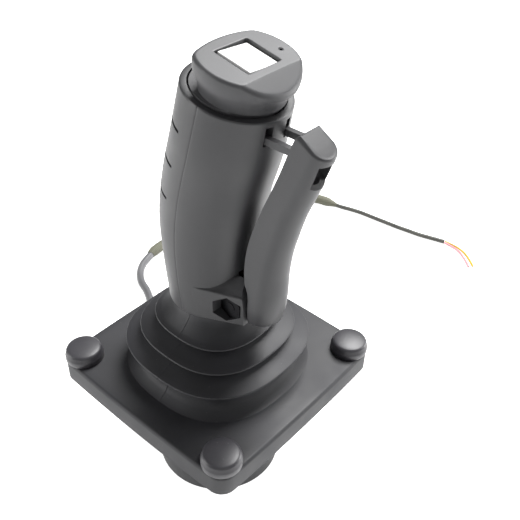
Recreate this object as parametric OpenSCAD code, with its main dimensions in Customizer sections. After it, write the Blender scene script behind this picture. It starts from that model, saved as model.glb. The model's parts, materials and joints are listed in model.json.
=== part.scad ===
// Panel-mounted two-axis industrial joystick with a full-hand grip,
// a hold-to-run lever in front of the fingers and a thumb rocker on top.
// Frame: +Z up, Z = 0 is the panel surface, the origin is the middle of the
// four mounting holes, +Y is forward (the lever's side) and the palm is at -Y.

/* [Mounting flange] */
// Distance between mounting hole centres, both ways
bolt_pitch = 90; // [84:1:92]
// Diameter of each mounting hole
bolt_hole_d = 5.5; // [4.5:0.1:6.6]
// Side of the square metal flange
plate_side = 102; // [100:1:110]
// Thickness of the metal flange
plate_t = 7.5; // [6.5:0.5:9]
// Corner radius of the metal flange
plate_corner_r = 5; // [3:0.5:8]
// Diameter of the opening in the middle of the flange
plate_bore_d = 46; // [45.5:0.5:48]

/* [Rubber boot] */
// Rubber thickness beside the flange
boot_side_t = 2.3; // [1.5:0.1:3.5]
// Rubber thickness above the flange
boot_top_t = 3.2; // [2:0.1:5]
// Diameter of the opening in the rubber above the flange
boot_bore_d = 64; // [60:1:68]
// Diameter of the access hole above each mounting screw
boot_access_d = 11; // [9:0.5:13]
// Wall of the bellows, measured level
bellows_wall = 1.6; // [1.2:0.1:2]
// Half width of the lowest lip
lip_low_r = 40; // [38:0.5:41]
// Half width of the middle lip
lip_mid_r = 33.3; // [32:0.1:35]
// Half width of the top lip
lip_top_r = 26.6; // [25:0.1:28]
// Height of the lowest lip above the flange rubber
lip_low_h = 14.6; // [13:0.1:16]
// Rise from each lip to the next
lip_rise = 7.2; // [6.4:0.1:7.6]
// Half width of the neck where it enters the grip
neck_r = 17.6; // [17:0.1:18]
// Squareness of the lips, 2 is round
lip_power = 2.5; // [2.2:0.1:3]

/* [Screw caps] */
// Diameter of the cap over each mounting screw
cap_d = 17.9; // [16:0.1:19]
// Height of the cap
cap_h = 6.7; // [6:0.1:8]
// Wall of the cap
cap_wall = 1.4; // [1:0.1:2]

/* [Housing] */
// Outside diameter of the round housing
housing_d = 62.6; // [62:0.1:66]
// Depth of the housing and its cover below the panel
housing_depth = 55.9; // [54:0.1:64]
// Wall of the housing
housing_wall = 2.6; // [2:0.1:3]
// Thickness of the bottom cover
cover_t = 4; // [3.5:0.1:5]
// Height of the cover's locating rim
cover_rim_h = 3; // [2:0.5:4]
// Diameter of the screw bosses
boss_d = 7.5; // [7:0.1:8]
// Pilot hole in each boss
boss_pilot_d = 3.2; // [2.8:0.1:3.4]

/* [Gimbal] */
// Depth of the tilt centre below the panel
pivot_depth = 10; // [9.5:0.1:11]
// Largest tilt each way, in degrees
tilt_max = 20; // [12:1:20]
// Diameter of the pivot pins
pin_d = 5; // [4:0.1:5]
// Running clearance on radius between pins and bushes
pin_clear = 0.04; // [0.02:0.01:0.08]
// Outside diameter of the gimbal ring
ring_d = 41; // [40:0.5:42]
// Radial wall of the gimbal ring
ring_wall = 5; // [4.5:0.1:5.5]
// Height of the gimbal ring
ring_h = 11; // [10:0.5:11.5]
// Diameter of the hub at the tilt centre
hub_d = 18; // [17:0.5:19]
// Height of the hub
hub_h = 18; // [16:0.5:20]
// Wire of the centring springs
spring_wire_d = 1.2; // [0.8:0.1:1.4]
// Turns in each centring spring
spring_turns = 3; // [2:1:3]

/* [Shaft] */
// Outside diameter of the steel shaft tube
shaft_d = 12; // [11:0.5:12]
// Bore of the shaft tube
shaft_bore_d = 7; // [6:0.5:8]
// Height of the shaft's top end above the panel
shaft_top = 112; // [105:1:116]
// Length of the flats' gate around the shaft, clearance to the shaft at full tilt
gate_clear = 0.6; // [0.4:0.1:1.5]
// Thickness of the limit gate
gate_t = 3; // [2.5:0.5:3.5]

/* [Grip] */
// Height of the grip's bottom edge above the panel
grip_base = 51; // [50:0.5:54]
// Height from the bottom edge to the middle of the top rim
grip_h = 100.5; // [98:0.5:104]
// Half width at the bottom
grip_low_r = 21; // [20.5:0.1:22]
// Half width at the palm
grip_palm_r = 21.8; // [21:0.1:23]
// Half width at the top rim
grip_top_r = 20.4; // [20.3:0.1:21.5]
// Wall of the two grip shells
grip_wall = 2.6; // [2.2:0.1:2.8]
// Gap along the parting line of the two shells
seam_gap = 0.1; // [0.05:0.01:0.2]
// Depth of the palm grooves
groove_depth = 0.7; // [0.4:0.1:1]
// Width of the palm grooves
groove_w = 1.2; // [0.8:0.1:2]
// Rise from one palm groove to the next
groove_pitch = 15.8; // [14:0.1:18]
// Height of the lowest palm groove above the grip's bottom edge
groove_start = 54; // [50:0.5:58]

/* [Grip nose] */
// Forward distance from the grip axis to the middle of the nose's round front
nose_reach = 27; // [26:0.1:28]
// Radius of the nose's round front
nose_r = 8.8; // [8.5:0.1:9.5]
// Height of the nose's side walls
nose_h = 16.5; // [15:0.5:18]
// Forward distance from the grip axis to the front edge of the nose's ears
ear_front = 25.2; // [24.6:0.1:25.6]
// Width of the slot between the ears
ear_slot_w = 11; // [10.4:0.1:12]
// Forward distance of the lever's pivot
lever_pivot_y = 18.6; // [18:0.1:19.2]
// Height of the lever's pivot above the grip's bottom edge
lever_pivot_h = 7.6; // [7.4:0.1:8.4]
// Diameter of the pivot bolt
pivot_bolt_d = 5; // [4:0.1:5]
// Size across flats of the nut pocket
hex_flats = 11; // [9:0.1:11.4]

/* [Lever] */
// Half width of the lever's head
lever_head_w = 6.3; // [6:0.1:6.6]
// Wall of the lever
lever_wall = 2.2; // [1.8:0.1:2.4]
// Downward slope of the lever's top face, in degrees
lever_top_slope = 28; // [20:1:32]
// Travel of the lever towards the grip, in degrees
lever_travel = 6; // [3:0.5:6]
// Thickness of each guide prong
prong_t = 2.4; // [2:0.1:2.6]
// Height of each guide prong
prong_h = 2.8; // [2.4:0.1:3.2]
// Side clearance of the lever's tongue in its slot
tongue_clear = 0.4; // [0.3:0.05:0.6]

/* [Top cap] */
// Slope of the cap's top face towards the front, in degrees
cap_slope = 11.6; // [8:0.1:14]
// Radius of the cap's round plan
top_r = 18.6; // [18:0.1:19]
// Height of the cap above the grip's rim
top_h = 14; // [13:0.1:15]
// Forward distance from the window's middle to the crease of the front facet
crease_y = 11.2; // [10.5:0.1:12]
// Extra slope of the front facet, in degrees
facet_slope = 27; // [20:1:32]
// Window across the grip
window_x = 17.2; // [16:0.1:18]
// Window along the grip
window_y = 16.6; // [15.6:0.1:17]
// Distance from the window's middle to the flattened rear edge
rear_flat_y = 13.6; // [13:0.1:14.5]

/* [Rocker switch] */
// Gap around the switch body and around the paddle
rocker_gap = 0.3; // [0.2:0.05:0.4]
// Wall of the switch body
rocker_wall = 1.1; // [0.9:0.1:1.3]
// Angle between the rocker's two positions, in degrees
rocker_throw = 14; // [8:1:16]
// Depth of the rocker's axis below the cap's top face
rocker_axis_depth = 6.2; // [5.8:0.1:7]

/* [Cable] */
// Diameter of the cable
cable_d = 5; // [4:0.1:6]
// Diameter of the woven sleeve
sleeve_d = 7; // [6.4:0.1:8]
// Diameter of the taped lead
lead_d = 3; // [2.4:0.1:3.4]
// Diameter of each bare-ended wire
wire_d = 1.5; // [1.2:0.1:1.8]
// Height of the cable's exit above the bottom of the housing
exit_h = 13; // [12:0.5:14]
// Length of the strain relief outside the housing
relief_len = 16; // [14:0.5:20]

/* [Hidden] */

eps = 0.01;
fit = 0.1;
run = 0.3;
round_fn = 96;
small_fn = 48;

boot_top = plate_t + boot_top_t;
boot_side = plate_side + 2 * boot_side_t;
pivot_z = -pivot_depth;
housing_bottom = -(housing_depth - cover_t);
table_z = -housing_depth;
housing_in_r = housing_d / 2 - housing_wall;
boss_pitch_r = housing_in_r - boss_d / 2 + 1.4;
bush_d = pin_d + 2 * pin_clear + 2.6;
bush_flange_t = 1;
ring_in_r = ring_d / 2 - ring_wall;
gate_half = tan(tilt_max) * (plate_t + pivot_depth) / cos(tilt_max)
    + shaft_d / 2 / cos(tilt_max) + gate_clear;
gate_d = plate_bore_d + 16;
grip_rim = grip_base + grip_h;
lever_pivot_z = grip_base + lever_pivot_h;
exit_z = table_z + exit_h;
relief_end = housing_d / 2 + relief_len;
board_z = pivot_z - 23;
board_t = 1.6;

// Grip sections: height above the bottom edge, half width, half depth, middle
GRIP_ROWS = [
    [0, grip_low_r, grip_low_r - 0.5, -0.8],
    [19, grip_low_r + 0.4, grip_low_r, -2.6],
    [39, grip_palm_r, grip_palm_r + 0.5, -2.4],
    [59, grip_palm_r, grip_palm_r + 0.5, 0.9],
    [79, grip_palm_r + 0.1, grip_palm_r + 0.2, 6.6],
    [grip_h, grip_top_r, grip_top_r + 0.8, 11.4]];

// Lever sections: height above the pivot, half width, inner edge, side edge, front
LEVER_ROWS = [
    [-6.6, 8.6, 25.9, 27.5, 35.4],
    [0, 9.2, 25.9, 29.0, 36.6],
    [6, 9.0, 25.9, 29.4, 37.4],
    [10.5, 8.6, 25.1, 29.5, 37.8],
    [13, 8.4, 23.7, 29.6, 37.9],
    [21, 8.0, 23.0, 30.6, 38.2],
    [31, 7.6, 23.9, 32.2, 39.6],
    [41, 7.2, 26.4, 34.8, 42.0],
    [52, 6.9, 30.2, 37.6, 45.2],
    [62, 6.7, 34.2, 41.8, 49.0],
    [72, 6.5, 38.0, 46.0, 52.8],
    [82, lever_head_w, 41.4, 49.6, 55.8],
    [92, lever_head_w, 45.4, 53.2, 58.8]];

// Route of the cable and what follows it, in the order in which they run
CABLE_ROUTE = [[0, -47.4, -42.9], [0, -55, -43.3], [-2, -63, -45.2], [-6, -71, -48.4],
    [-12, -79, -51.5], [-20, -87, -53.1], [-30, -94, -53.4], [-40, -101, -53.4],
    [-48, -108, -53.4], [-54, -118, -53.4], [-58, -128, -53.4], [-64, -136, -53.4],
    [-72, -142, -53.4], [-82, -145.6, -53.4]];
SLEEVE_ROUTE = [[-82.4, -145.8, -53.4], [-85.2, -146.6, -53], [-94, -147.2, -52.4],
    [-107, -147, -52.4],
    [-122, -146, -52.4], [-138, -145, -52.4], [-154, -142, -52.4], [-170, -138, -52.4],
    [-185, -132, -52.4], [-199, -124, -52.4], [-211, -114, -52.4], [-219, -104, -52.4],
    [-223, -95, -53.4], [-225, -88, -54.2]];
LEAD_ROUTE = [[-225, -87.8, -54.2], [-226.2, -83, -54.4], [-228, -77, -54.4], [-230, -68, -54.4],
    [-231, -58, -54.4], [-232, -48, -54.4], [-233, -38, -54.4], [-234.5, -28, -54.4],
    [-236, -19, -54.4], [-238.5, -10, -54.4], [-241, -1, -54.4]];
YELLOW_ROUTE = [[-241.8, -0.9, -54.5], [-242.5, 2, -54.9], [-242.6, 6.5, -55.1],
    [-241.7, 12, -55.1], [-239.2, 17.4, -55.1], [-235.2, 22.8, -55.1], [-230, 28.4, -55.1]];
PINK_ROUTE = [[-240.3, -0.5, -54.5], [-240.6, 2.4, -54.9], [-240.4, 6.5, -55.1],
    [-239.2, 11.4, -55.1], [-236.4, 16.2, -55.1], [-232.2, 21.4, -55.1], [-227.4, 26.6, -55.1]];
INNER_ROUTE = [[0, -28.6, -42.9], [0, -24, -42.9], [0.4, -19, -42.6], [1, -15.4, -42]];
HARNESS_ROUTE = [[0, 0, 8], [0, 0, 50], [0, 0, 100], [0, 1, 120], [1, 6, 134], [1, 11, 141]];

// ---------------------------------------------------------------- helpers

// Value of column c of a table at height h, on a smooth curve through its rows
function row_at(rows, h, c) =
    let (n = len(rows),
         i = max([for (k = [0:n - 2]) if (k == 0 || h >= rows[k][0]) k]),
         a = rows[max(i - 1, 0)], b = rows[i], d = rows[i + 1], e = rows[min(i + 2, n - 1)],
         s = d[0] - b[0], t = (h - b[0]) / s,
         mb = (d[c] - a[c]) / (d[0] - a[0]) * s, md = (e[c] - b[c]) / (e[0] - b[0]) * s)
    (2 * pow(t, 3) - 3 * pow(t, 2) + 1) * b[c] + (pow(t, 3) - 2 * pow(t, 2) + t) * mb
        + (3 * pow(t, 2) - 2 * pow(t, 3)) * d[c] + (pow(t, 3) - pow(t, 2)) * md;

// Solid through a stack of closed sections, each a list of points that runs
// anticlockwise seen from above
module loft(sections) {
    n = len(sections[0]);
    m = len(sections);
    polyhedron(
        points = [for (s = sections) each s],
        faces = concat(
            [[for (i = [0:n - 1]) i]],
            [for (r = [0:m - 2], i = [0:n - 1], half = [0, 1])
                let (j = (i + 1) % n, a = r * n, b = a + n)
                half == 0 ? [a + i, b + i, b + j] : [a + i, b + j, a + j]],
            [[for (i = [n - 1:-1:0]) (m - 1) * n + i]]),
        convexity = 8);
}

// Ring-shaped solid: a closed profile carried round by place(profile point, angle)
module swept_ring(points, n, m) {
    polyhedron(
        points = points,
        faces = [for (r = [0:n - 1], i = [0:m - 1], half = [0, 1])
            let (j = (i + 1) % m, a = r * m, b = ((r + 1) % n) * m)
            half == 0 ? [a + i, a + j, b + j] : [a + i, b + j, b + i]],
        convexity = 10);
}

function unit(v) = v / norm(v);
function tangent(p, i) =
    unit(p[min(i + 1, len(p) - 1)] - p[max(i - 1, 0)]);
// Side vector carried along the route, so that the tube does not twist
function carried(p, i, seed) =
    i == 0 ? unit(seed - (seed * tangent(p, 0)) * tangent(p, 0))
    : let (u = carried(p, i - 1, seed), t = tangent(p, i)) unit(u - (u * t) * t);

// Tube along a route; radii holds one radius for each point
module tube(route, radii, sides, seed = [0.3, 0.2, 1]) {
    rings = [for (i = [0:len(route) - 1])
        let (t = tangent(route, i), u = carried(route, i, seed), v = cross(t, u))
        [for (k = [0:sides - 1]) let (a = 360 * k / sides)
            route[i] + radii[i] * (u * cos(a) + v * sin(a))]];
    loft(rings);
}

function same(value, list) = [for (i = list) value];

// Two more points between each pair of a route, on a smooth curve through it
function smoothed(p) = concat(
    [for (i = [0:len(p) - 2], t = [0, 0.5])
        let (a = p[max(i - 1, 0)], b = p[i], c = p[i + 1], d = p[min(i + 2, len(p) - 1)])
        0.5 * (2 * b + (c - a) * t + (2 * a - 5 * b + 4 * c - d) * t * t
            + (3 * b - a - 3 * c + d) * t * t * t)],
    [p[len(p) - 1]]);

module at_bolts() {
    for (x = [-1, 1], y = [-1, 1]) translate([x, y, 0] * bolt_pitch / 2) children();
}

module at_bosses() {
    for (a = [45:90:315]) rotate(a) translate([boss_pitch_r, 0, 0]) children();
}

// Square with round corners and slightly bowed sides
module soft_square(side, corner, bow) {
    c = side / 2 - corner;
    r_bow = (c * c + bow * bow) / (2 * bow);
    union() {
        square([2 * c, side], center = true);
        square([side, 2 * c], center = true);
        for (x = [-1, 1], y = [-1, 1]) translate([x * c, y * c]) circle(corner, $fn = small_fn);
        for (a = [0:90:270]) rotate(a) intersection() {
            translate([side / 2 + bow - r_bow, 0]) circle(r_bow, $fn = 256);
            translate([c, -c]) square([corner + bow + 1, 2 * c]);
        }
    }
}

module slab(z0, z1) {
    translate([0, 0, z0]) linear_extrude(z1 - z0) children();
}

module rod(d, z0, z1, fn = small_fn) {
    translate([0, 0, z0]) cylinder(d = d, h = z1 - z0, $fn = fn);
}

// A straight cylinder along X or Y between two coordinates
module rod_x(d, x0, x1, fn = small_fn) {
    translate([x0, 0, 0]) rotate([0, 90, 0]) cylinder(d = d, h = x1 - x0, $fn = fn);
}
module rod_y(d, y0, y1, fn = small_fn) {
    translate([0, y0, 0]) rotate([-90, 0, 0]) cylinder(d = d, h = y1 - y0, $fn = fn);
}

module tilt_frame() { translate([0, 0, pivot_z]) children(); }

// ---------------------------------------------------------------- base

plate_screw_head_d = 7;
plate_screw_d = 3.9;

module mounting_plate() {
    color("silver") difference() {
        slab(0, plate_t) soft_square(plate_side, plate_corner_r, 0.8);
        rod(plate_bore_d, -1, plate_t + 1, round_fn);
        rod(gate_d + 2 * fit, plate_t - gate_t, plate_t + 1, round_fn);
        at_bolts() rod(bolt_hole_d, -1, plate_t + 1);
        at_bosses() rod(plate_screw_d + 2 * fit, -1, plate_t + 1);
    }
}

module gate_plate() {
    color("dimgray") difference() {
        rod(gate_d, plate_t - gate_t, plate_t, round_fn);
        slab(-1, plate_t + 1) offset_square(gate_half, 3);
        at_bosses() {
            rod(plate_screw_d + 2 * fit, -1, plate_t + 1);
            translate([0, 0, plate_t - 1.9])
                cylinder(d1 = plate_screw_d, d2 = plate_screw_head_d + 0.6, h = 2, $fn = small_fn);
        }
    }
}

// Square opening with round corners, given by its half width
module offset_square(half, r) {
    square([2 * half, 2 * (half - r)], center = true);
    square([2 * (half - r), 2 * half], center = true);
    for (x = [-1, 1], y = [-1, 1]) translate([x, y] * (half - r)) circle(r, $fn = 32);
}

module screw(head_d, shank_d, length, drive_d) {
    head_h = (head_d - shank_d) / 2;
    difference() {
        union() {
            translate([0, 0, -length]) cylinder(d = shank_d, h = length - head_h + eps, $fn = 32);
            translate([0, 0, -head_h])
                cylinder(d1 = shank_d, d2 = head_d, h = head_h, $fn = 32);
        }
        translate([0, 0, -head_h * 0.7]) cylinder(d = drive_d, h = head_h, $fn = 6);
    }
}

module plate_screws() {
    color("lightgray") at_bosses() translate([0, 0, plate_t - 0.1])
        screw(plate_screw_head_d - 0.2, boss_pilot_d - fit, plate_t + 12, 2.6);
}

module boot_flange() {
    color([0.24, 0.24, 0.25]) difference() {
        slab(0, boot_top) soft_square(boot_side, plate_corner_r + boot_side_t, 0.8);
        slab(-1, plate_t) soft_square(plate_side, plate_corner_r, 0.8);
        rod(boot_bore_d, -1, boot_top + 1, round_fn);
        at_bolts() rod(boot_access_d, -1, boot_top + 1);
    }
}

// Outer profile of the bellows, from its foot to the top of its neck: half
// width and height above the flange rubber; heights always rise
BELLOWS_OUTER = let (l0 = lip_low_h, l1 = l0 + lip_rise, l2 = l1 + lip_rise) [
    [lip_low_r + 0.5, 0], [lip_low_r - 1.6, 1.2], [lip_low_r - 4.4, 3], [lip_low_r - 5.6, 6],
    [lip_low_r - 6, 11], [lip_low_r - 5.4, l0 - 1.7], [lip_low_r - 0.6, l0 - 0.8],
    [lip_low_r, l0 - 0.1], [lip_low_r - 0.5, l0 + 0.6], [lip_mid_r - 4.4, l1 - 2.3],
    [lip_mid_r - 4.2, l1 - 1.7], [lip_mid_r - 0.6, l1 - 0.8], [lip_mid_r, l1 - 0.1],
    [lip_mid_r - 0.5, l1 + 0.6], [lip_top_r - 4, l2 - 2.3], [lip_top_r - 3.8, l2 - 1.7],
    [lip_top_r - 0.6, l2 - 0.8], [lip_top_r, l2 - 0.1], [lip_top_r - 0.5, l2 + 0.6],
    [neck_r + 3, l2 + 5], [neck_r + 0.8, l2 + 8], [neck_r + 0.1, l2 + 10],
    [neck_r, grip_base + 0.7 - boot_top]];

// Squareness falls to round at the neck
function plan_power(half) = 2 + (lip_power - 2) * min(1, max(0, (half - neck_r) / 8));
function plan_point(half, a) =
    let (p = plan_power(half), r = half / pow(pow(abs(cos(a)), p) + pow(abs(sin(a)), p), 1 / p))
    [r * cos(a), r * sin(a)];

module bellows() {
    n = 40;
    inner = [for (i = [len(BELLOWS_OUTER) - 1:-1:0]) BELLOWS_OUTER[i] - [bellows_wall, 0]];
    profile = concat(BELLOWS_OUTER, inner);
    points = [for (k = [0:n - 1], q = profile)
        let (p = plan_point(q[0], 360 * k / n)) [p[0], p[1], boot_top + q[1]]];
    color([0.22, 0.22, 0.23]) swept_ring(points, n, len(profile));
}

module screw_caps() {
    r = cap_d / 2;
    color([0.25, 0.25, 0.26]) at_bolts() translate([0, 0, boot_top]) rotate_extrude($fn = 64)
        polygon([[r - cap_wall, 0], [r, 0], [r, 3], [r - 0.4, 3.6], [r - 0.9, cap_h - 1.8],
            [r - 2, cap_h - 0.8], [r - 3.8, cap_h - 0.2], [0, cap_h], [0, cap_h - cap_wall],
            [r - 4.2, cap_h - 1.6], [r - cap_wall - 0.8, cap_h - 2.6]]);
}

module gimbal_housing() {
    color([0.13, 0.13, 0.14]) difference() {
        union() {
            difference() {
                rod(housing_d, housing_bottom, 0, 128);
                rod(2 * housing_in_r, housing_bottom - 1, 1, 128);
            }
            intersection() {
                at_bosses() rod(boss_d, housing_bottom + cover_rim_h + fit, 0);
                rod(housing_d - 1, housing_bottom, 0, 128);
            }
            tilt_frame() intersection() {
                for (s = [0, 180]) rotate(s)
                    rod_x(pin_d + 8, ring_d / 2 + spring_room, housing_d / 2);
                rod(housing_d - 1, -20, 20, 128);
            }
            spring_post_x(far_post, ring_d / 2 + 0.9, housing_in_r + 1);
        }
        tilt_frame() rod_x(pin_d, -housing_d, housing_d);
        at_bosses() rod(boss_pilot_d, housing_bottom - 1, 1);
        translate([0, 0, exit_z]) rod_y(cable_d + 4, -housing_d, -housing_in_r + 6, 64);
    }
}

spring_room = 6.4;
spring_r = pin_d / 2 + 2.6;
post_d = 2.2;
near_post = spring_r + spring_wire_d / 2 + post_d / 2 + 0.2;
far_post = near_post + post_d + 0.5;

// Posts that the centring springs' legs close on: the near one turns with the
// inner part and the far one stands on the outer part
module spring_post_x(drop, x0, x1) {
    tilt_frame() translate([0, 0, -drop]) rod_x(post_d, x0, x1, 24);
}
module spring_post_y(drop, y0, y1) {
    tilt_frame() translate([0, 0, -drop]) rod_y(post_d, y0, y1, 24);
}

module outer_pivot_pins() {
    color("silver") tilt_frame() for (s = [0, 180]) rotate(s) difference() {
        rod_x(pin_d, ring_in_r + 0.6, housing_d / 2 - 0.4);
        translate([housing_d / 2 - 1.6, -0.5, -pin_d]) cube([2, 1, 2 * pin_d]);
    }
}

module bottom_cover() {
    color([0.15, 0.15, 0.16]) difference() {
        union() {
            rod(housing_d, table_z, housing_bottom, 128);
            difference() {
                rod(2 * (housing_in_r - fit), housing_bottom - 1, housing_bottom + cover_rim_h, 128);
                rod(2 * (housing_in_r - 2), housing_bottom - 2, housing_bottom + cover_rim_h + 1, 128);
            }
            for (a = [90:120:330]) rotate(a) translate([15, 0, 0])
                rod(6, housing_bottom - 1, board_z - board_t);
        }
        at_bosses() {
            rod(3.4, table_z - 1, housing_bottom + cover_rim_h + 1);
            translate([0, 0, table_z - eps])
                cylinder(d1 = 6.4, d2 = 3.2, h = 1.7, $fn = 32);
        }
        for (a = [90:120:330]) rotate(a) translate([15, 0, 0])
            rod(2.2, board_z - 10, board_z + 1, 32);
    }
}

module cover_screws() {
    color("lightgray") at_bosses() translate([0, 0, table_z + 0.1]) mirror([0, 0, 1])
        screw(5.8, boss_pilot_d - 0.2, cover_t + 9, 2.2);
}

module sensor_board() {
    color([0.1, 0.35, 0.2]) difference() {
        rod(40, board_z - board_t, board_z, 64);
        for (a = [90:120:330]) rotate(a) translate([15, 0, 0]) rod(2.6, board_z - 3, board_z + 1, 32);
        translate([-8, -21, board_z - 3]) cube([16, 5, 6]);
    }
}

module board_screws() {
    color("lightgray") for (a = [90:120:330]) rotate(a) translate([15, 0, board_z]) {
        cylinder(d = 4.2, h = 1.5, $fn = 32);
        translate([0, 0, -7]) cylinder(d = 2.2, h = 7 + eps, $fn = 32);
    }
}

module hall_sensors() {
    color([0.12, 0.12, 0.13]) for (y = [-3.2, 3.2])
        translate([-2.5, y - 2, board_z]) cube([5, 4, 1.5]);
}

module board_connector() {
    color("ivory") translate([0, -9, board_z - board_t]) difference() {
        translate([-6.5, -6, -7.5]) cube([13, 9, 7.5]);
        translate([-5.5, -7, -6.5]) cube([11, 5, 5]);
    }
}

module cable_relief() {
    r0 = cable_d / 2 + 1.9;
    w = housing_wall;
    color([0.16, 0.16, 0.17]) translate([0, -housing_in_r, exit_z]) rotate([90, 0, 0])
        rotate_extrude($fn = small_fn) polygon([[cable_d / 2, -3.4], [r0 + 1.2, -3.4],
            [r0 + 1.4, -0.9], [r0 + fit / 2, -0.6], [r0 + fit / 2, w + 0.1], [r0 + 2.6, w + 0.1],
            [r0 + 2.6, w + 3.2], [r0 + 0.6, w + 3.8], [r0 + 0.5, w + 5.2], [r0 - 0.1, w + 5.4],
            [r0 - 0.1, w + 6.4], [r0 + 0.3, w + 6.6], [r0 + 0.1, w + 8.2], [r0 - 0.4, w + 8.4],
            [r0 - 0.4, w + 9.4], [r0 - 0.1, w + 9.6], [r0 - 0.3, w + 11.2],
            [r0 - 0.7, w + 11.4], [r0 - 0.7, w + 12.4], [r0 - 0.5, w + 12.6],
            [r0 - 0.8, w + relief_len], [cable_d / 2, w + relief_len]]);
}

module inner_lead() {
    color([0.3, 0.3, 0.32]) tube(INNER_ROUTE, same(cable_d / 2 - 0.3, INNER_ROUTE), 8);
}

module cable() {
    route = smoothed(CABLE_ROUTE);
    color([0.42, 0.42, 0.44]) tube(route, same(cable_d / 2, route), 10);
}

module cable_sleeve() {
    n = len(SLEEVE_ROUTE);
    radii = [for (i = [0:n - 1]) i == 0 ? cable_d / 2 + 0.3
        : i > n - 3 ? lead_d / 2 + 0.9 * (n - 1 - i) : sleeve_d / 2];
    color([0.42, 0.42, 0.36]) tube(SLEEVE_ROUTE, radii, 10);
}

module taped_lead() {
    color([0.2, 0.2, 0.2]) tube(LEAD_ROUTE, same(lead_d / 2, LEAD_ROUTE), 8);
}

module yellow_wire() {
    color("gold") tube(YELLOW_ROUTE, same(wire_d / 2, YELLOW_ROUTE), 8);
}

module pink_wire() {
    color("lightpink") tube(PINK_ROUTE, same(wire_d / 2, PINK_ROUTE), 8);
}

// Torsion spring round the X axis: close turns and two legs that hang down
// on both sides of the posts
module torsion_spring(x0, mean_r, drop, turns) {
    steps = 12;
    pitch = spring_wire_d + 0.35;
    side = post_d / 2 + spring_wire_d / 2 + 0.05;
    a0 = asin(side / mean_r);
    sweep = 360 * turns + 2 * a0;
    n = steps * turns + 1;
    coil = [for (i = [0:n]) let (a = a0 - sweep * i / n)
        [x0 + pitch * sweep / 360 * i / n, -mean_r * sin(a), -mean_r * cos(a)]];
    route = concat([[x0, -side, -drop]], coil, [[x0 + pitch * sweep / 360, side, -drop]]);
    tube(route, same(spring_wire_d / 2, route), 6, [1, 0, 0]);
}

module forward_spring() {
    color("gainsboro") tilt_frame()
        torsion_spring(ring_d / 2 + spring_wire_d / 2 + 0.3, spring_r, far_post + 1.4, spring_turns);
}

// ---------------------------------------------------------------- gimbal ring

module gimbal_ring() {
    color([0.55, 0.56, 0.58]) difference() {
        union() {
            tilt_frame() difference() {
                rod(ring_d, -ring_h / 2, ring_h / 2, round_fn);
                rod(2 * ring_in_r, -ring_h, ring_h, round_fn);
            }
            spring_post_x(near_post, ring_d / 2 - 2, ring_d / 2 + spring_room - 0.6);
            spring_post_y(far_post, -ring_in_r - 2, -hub_d / 2 - 0.6);
            tilt_frame() {
                translate([ring_d / 2 - 2.4, -2, -near_post - 1.6]) cube([2.4, 4, near_post - 2]);
                translate([-2, -ring_in_r - 2.6, -far_post - 1.6]) cube([4, 2.6, far_post - 2]);
            }
        }
        tilt_frame() {
            rod_x(bush_d, -ring_d, ring_d);
            rod_y(bush_d, -ring_d, ring_d);
            rod_x(bush_d + 2.8, -bush_seat, bush_seat);
            rod_y(bush_d + 2.8, -bush_seat, bush_seat);
        }
    }
}

bush_seat = ring_in_r + 0.5;
module bush(r_in, r_out) {
    rotate_extrude($fn = small_fn) polygon([[pin_d / 2 + pin_clear, r_in - bush_flange_t],
        [bush_d / 2 + 1.2, r_in - bush_flange_t], [bush_d / 2 + 1.2, r_in], [bush_d / 2, r_in],
        [bush_d / 2, r_out], [pin_d / 2 + pin_clear, r_out]]);
}

module outer_bushes() {
    color("peru") tilt_frame() intersection() {
        for (s = [0, 180]) rotate(s) rotate([0, 90, 0]) bush(bush_seat, ring_d / 2 - 0.1);
        rod(ring_d - 0.1, -10, 10, round_fn);
    }
}

module inner_bushes() {
    color("peru") tilt_frame() intersection() {
        for (s = [-90, 90]) rotate([s, 0, 0]) bush(bush_seat, ring_d / 2 - 0.1);
        rod(ring_d - 0.1, -10, 10, round_fn);
    }
}

// ---------------------------------------------------------------- stick core

module gimbal_hub() {
    color([0.5, 0.51, 0.53]) difference() {
        union() {
            tilt_frame() rotate_extrude($fn = 64) polygon([[0, -hub_h / 2], [hub_d / 2 - 1.5,
                -hub_h / 2], [hub_d / 2, -hub_h / 2 + 1.5], [hub_d / 2, hub_h / 2 - 1.5],
                [hub_d / 2 - 1.5, hub_h / 2], [0, hub_h / 2]]);
            spring_post_y(near_post, -ring_in_r + 1.4, -hub_d / 2 + 2);
        }
        tilt_frame() {
            rod(shaft_d, -hub_h / 2 + 3, hub_h, 64);
            rod(6.2, -hub_h, 0, 32);
            rod_y(pin_d, -hub_d, hub_d);
        }
    }
}

module inner_pivot_pin() {
    color("silver") tilt_frame() rod_y(pin_d, -ring_d / 2 + 0.4, ring_d / 2 - 0.4);
}

module side_spring() {
    color("gainsboro") tilt_frame() rotate(-90)
        torsion_spring(hub_d / 2 + spring_wire_d / 2 + 0.2, spring_r, far_post + 1.4,
            spring_turns - 1);
}

module shaft() {
    color("silver") difference() {
        rod(shaft_d, pivot_z - hub_h / 2 + 3, shaft_top, 64);
        rod(shaft_bore_d, pivot_z - hub_h, shaft_top + 1, 64);
        tilt_frame() rod_y(pin_d, -hub_d, hub_d);
    }
}

magnet_d = 8;
magnet_t = 4;

module magnet_holder() {
    color([0.85, 0.85, 0.82]) tilt_frame() difference() {
        union() {
            rod(13, -hub_h / 2 - 7, -hub_h / 2);
            rod(6.1, -hub_h / 2 - 1, -hub_h / 2 + 2.9, 32);
        }
        rod(magnet_d, -hub_h / 2 - 8, -hub_h / 2 - 7 + magnet_t);
    }
}

module magnet() {
    color([0.6, 0.6, 0.63]) tilt_frame() rod(magnet_d, -hub_h / 2 - 7, -hub_h / 2 - 7 + magnet_t);
}

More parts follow.
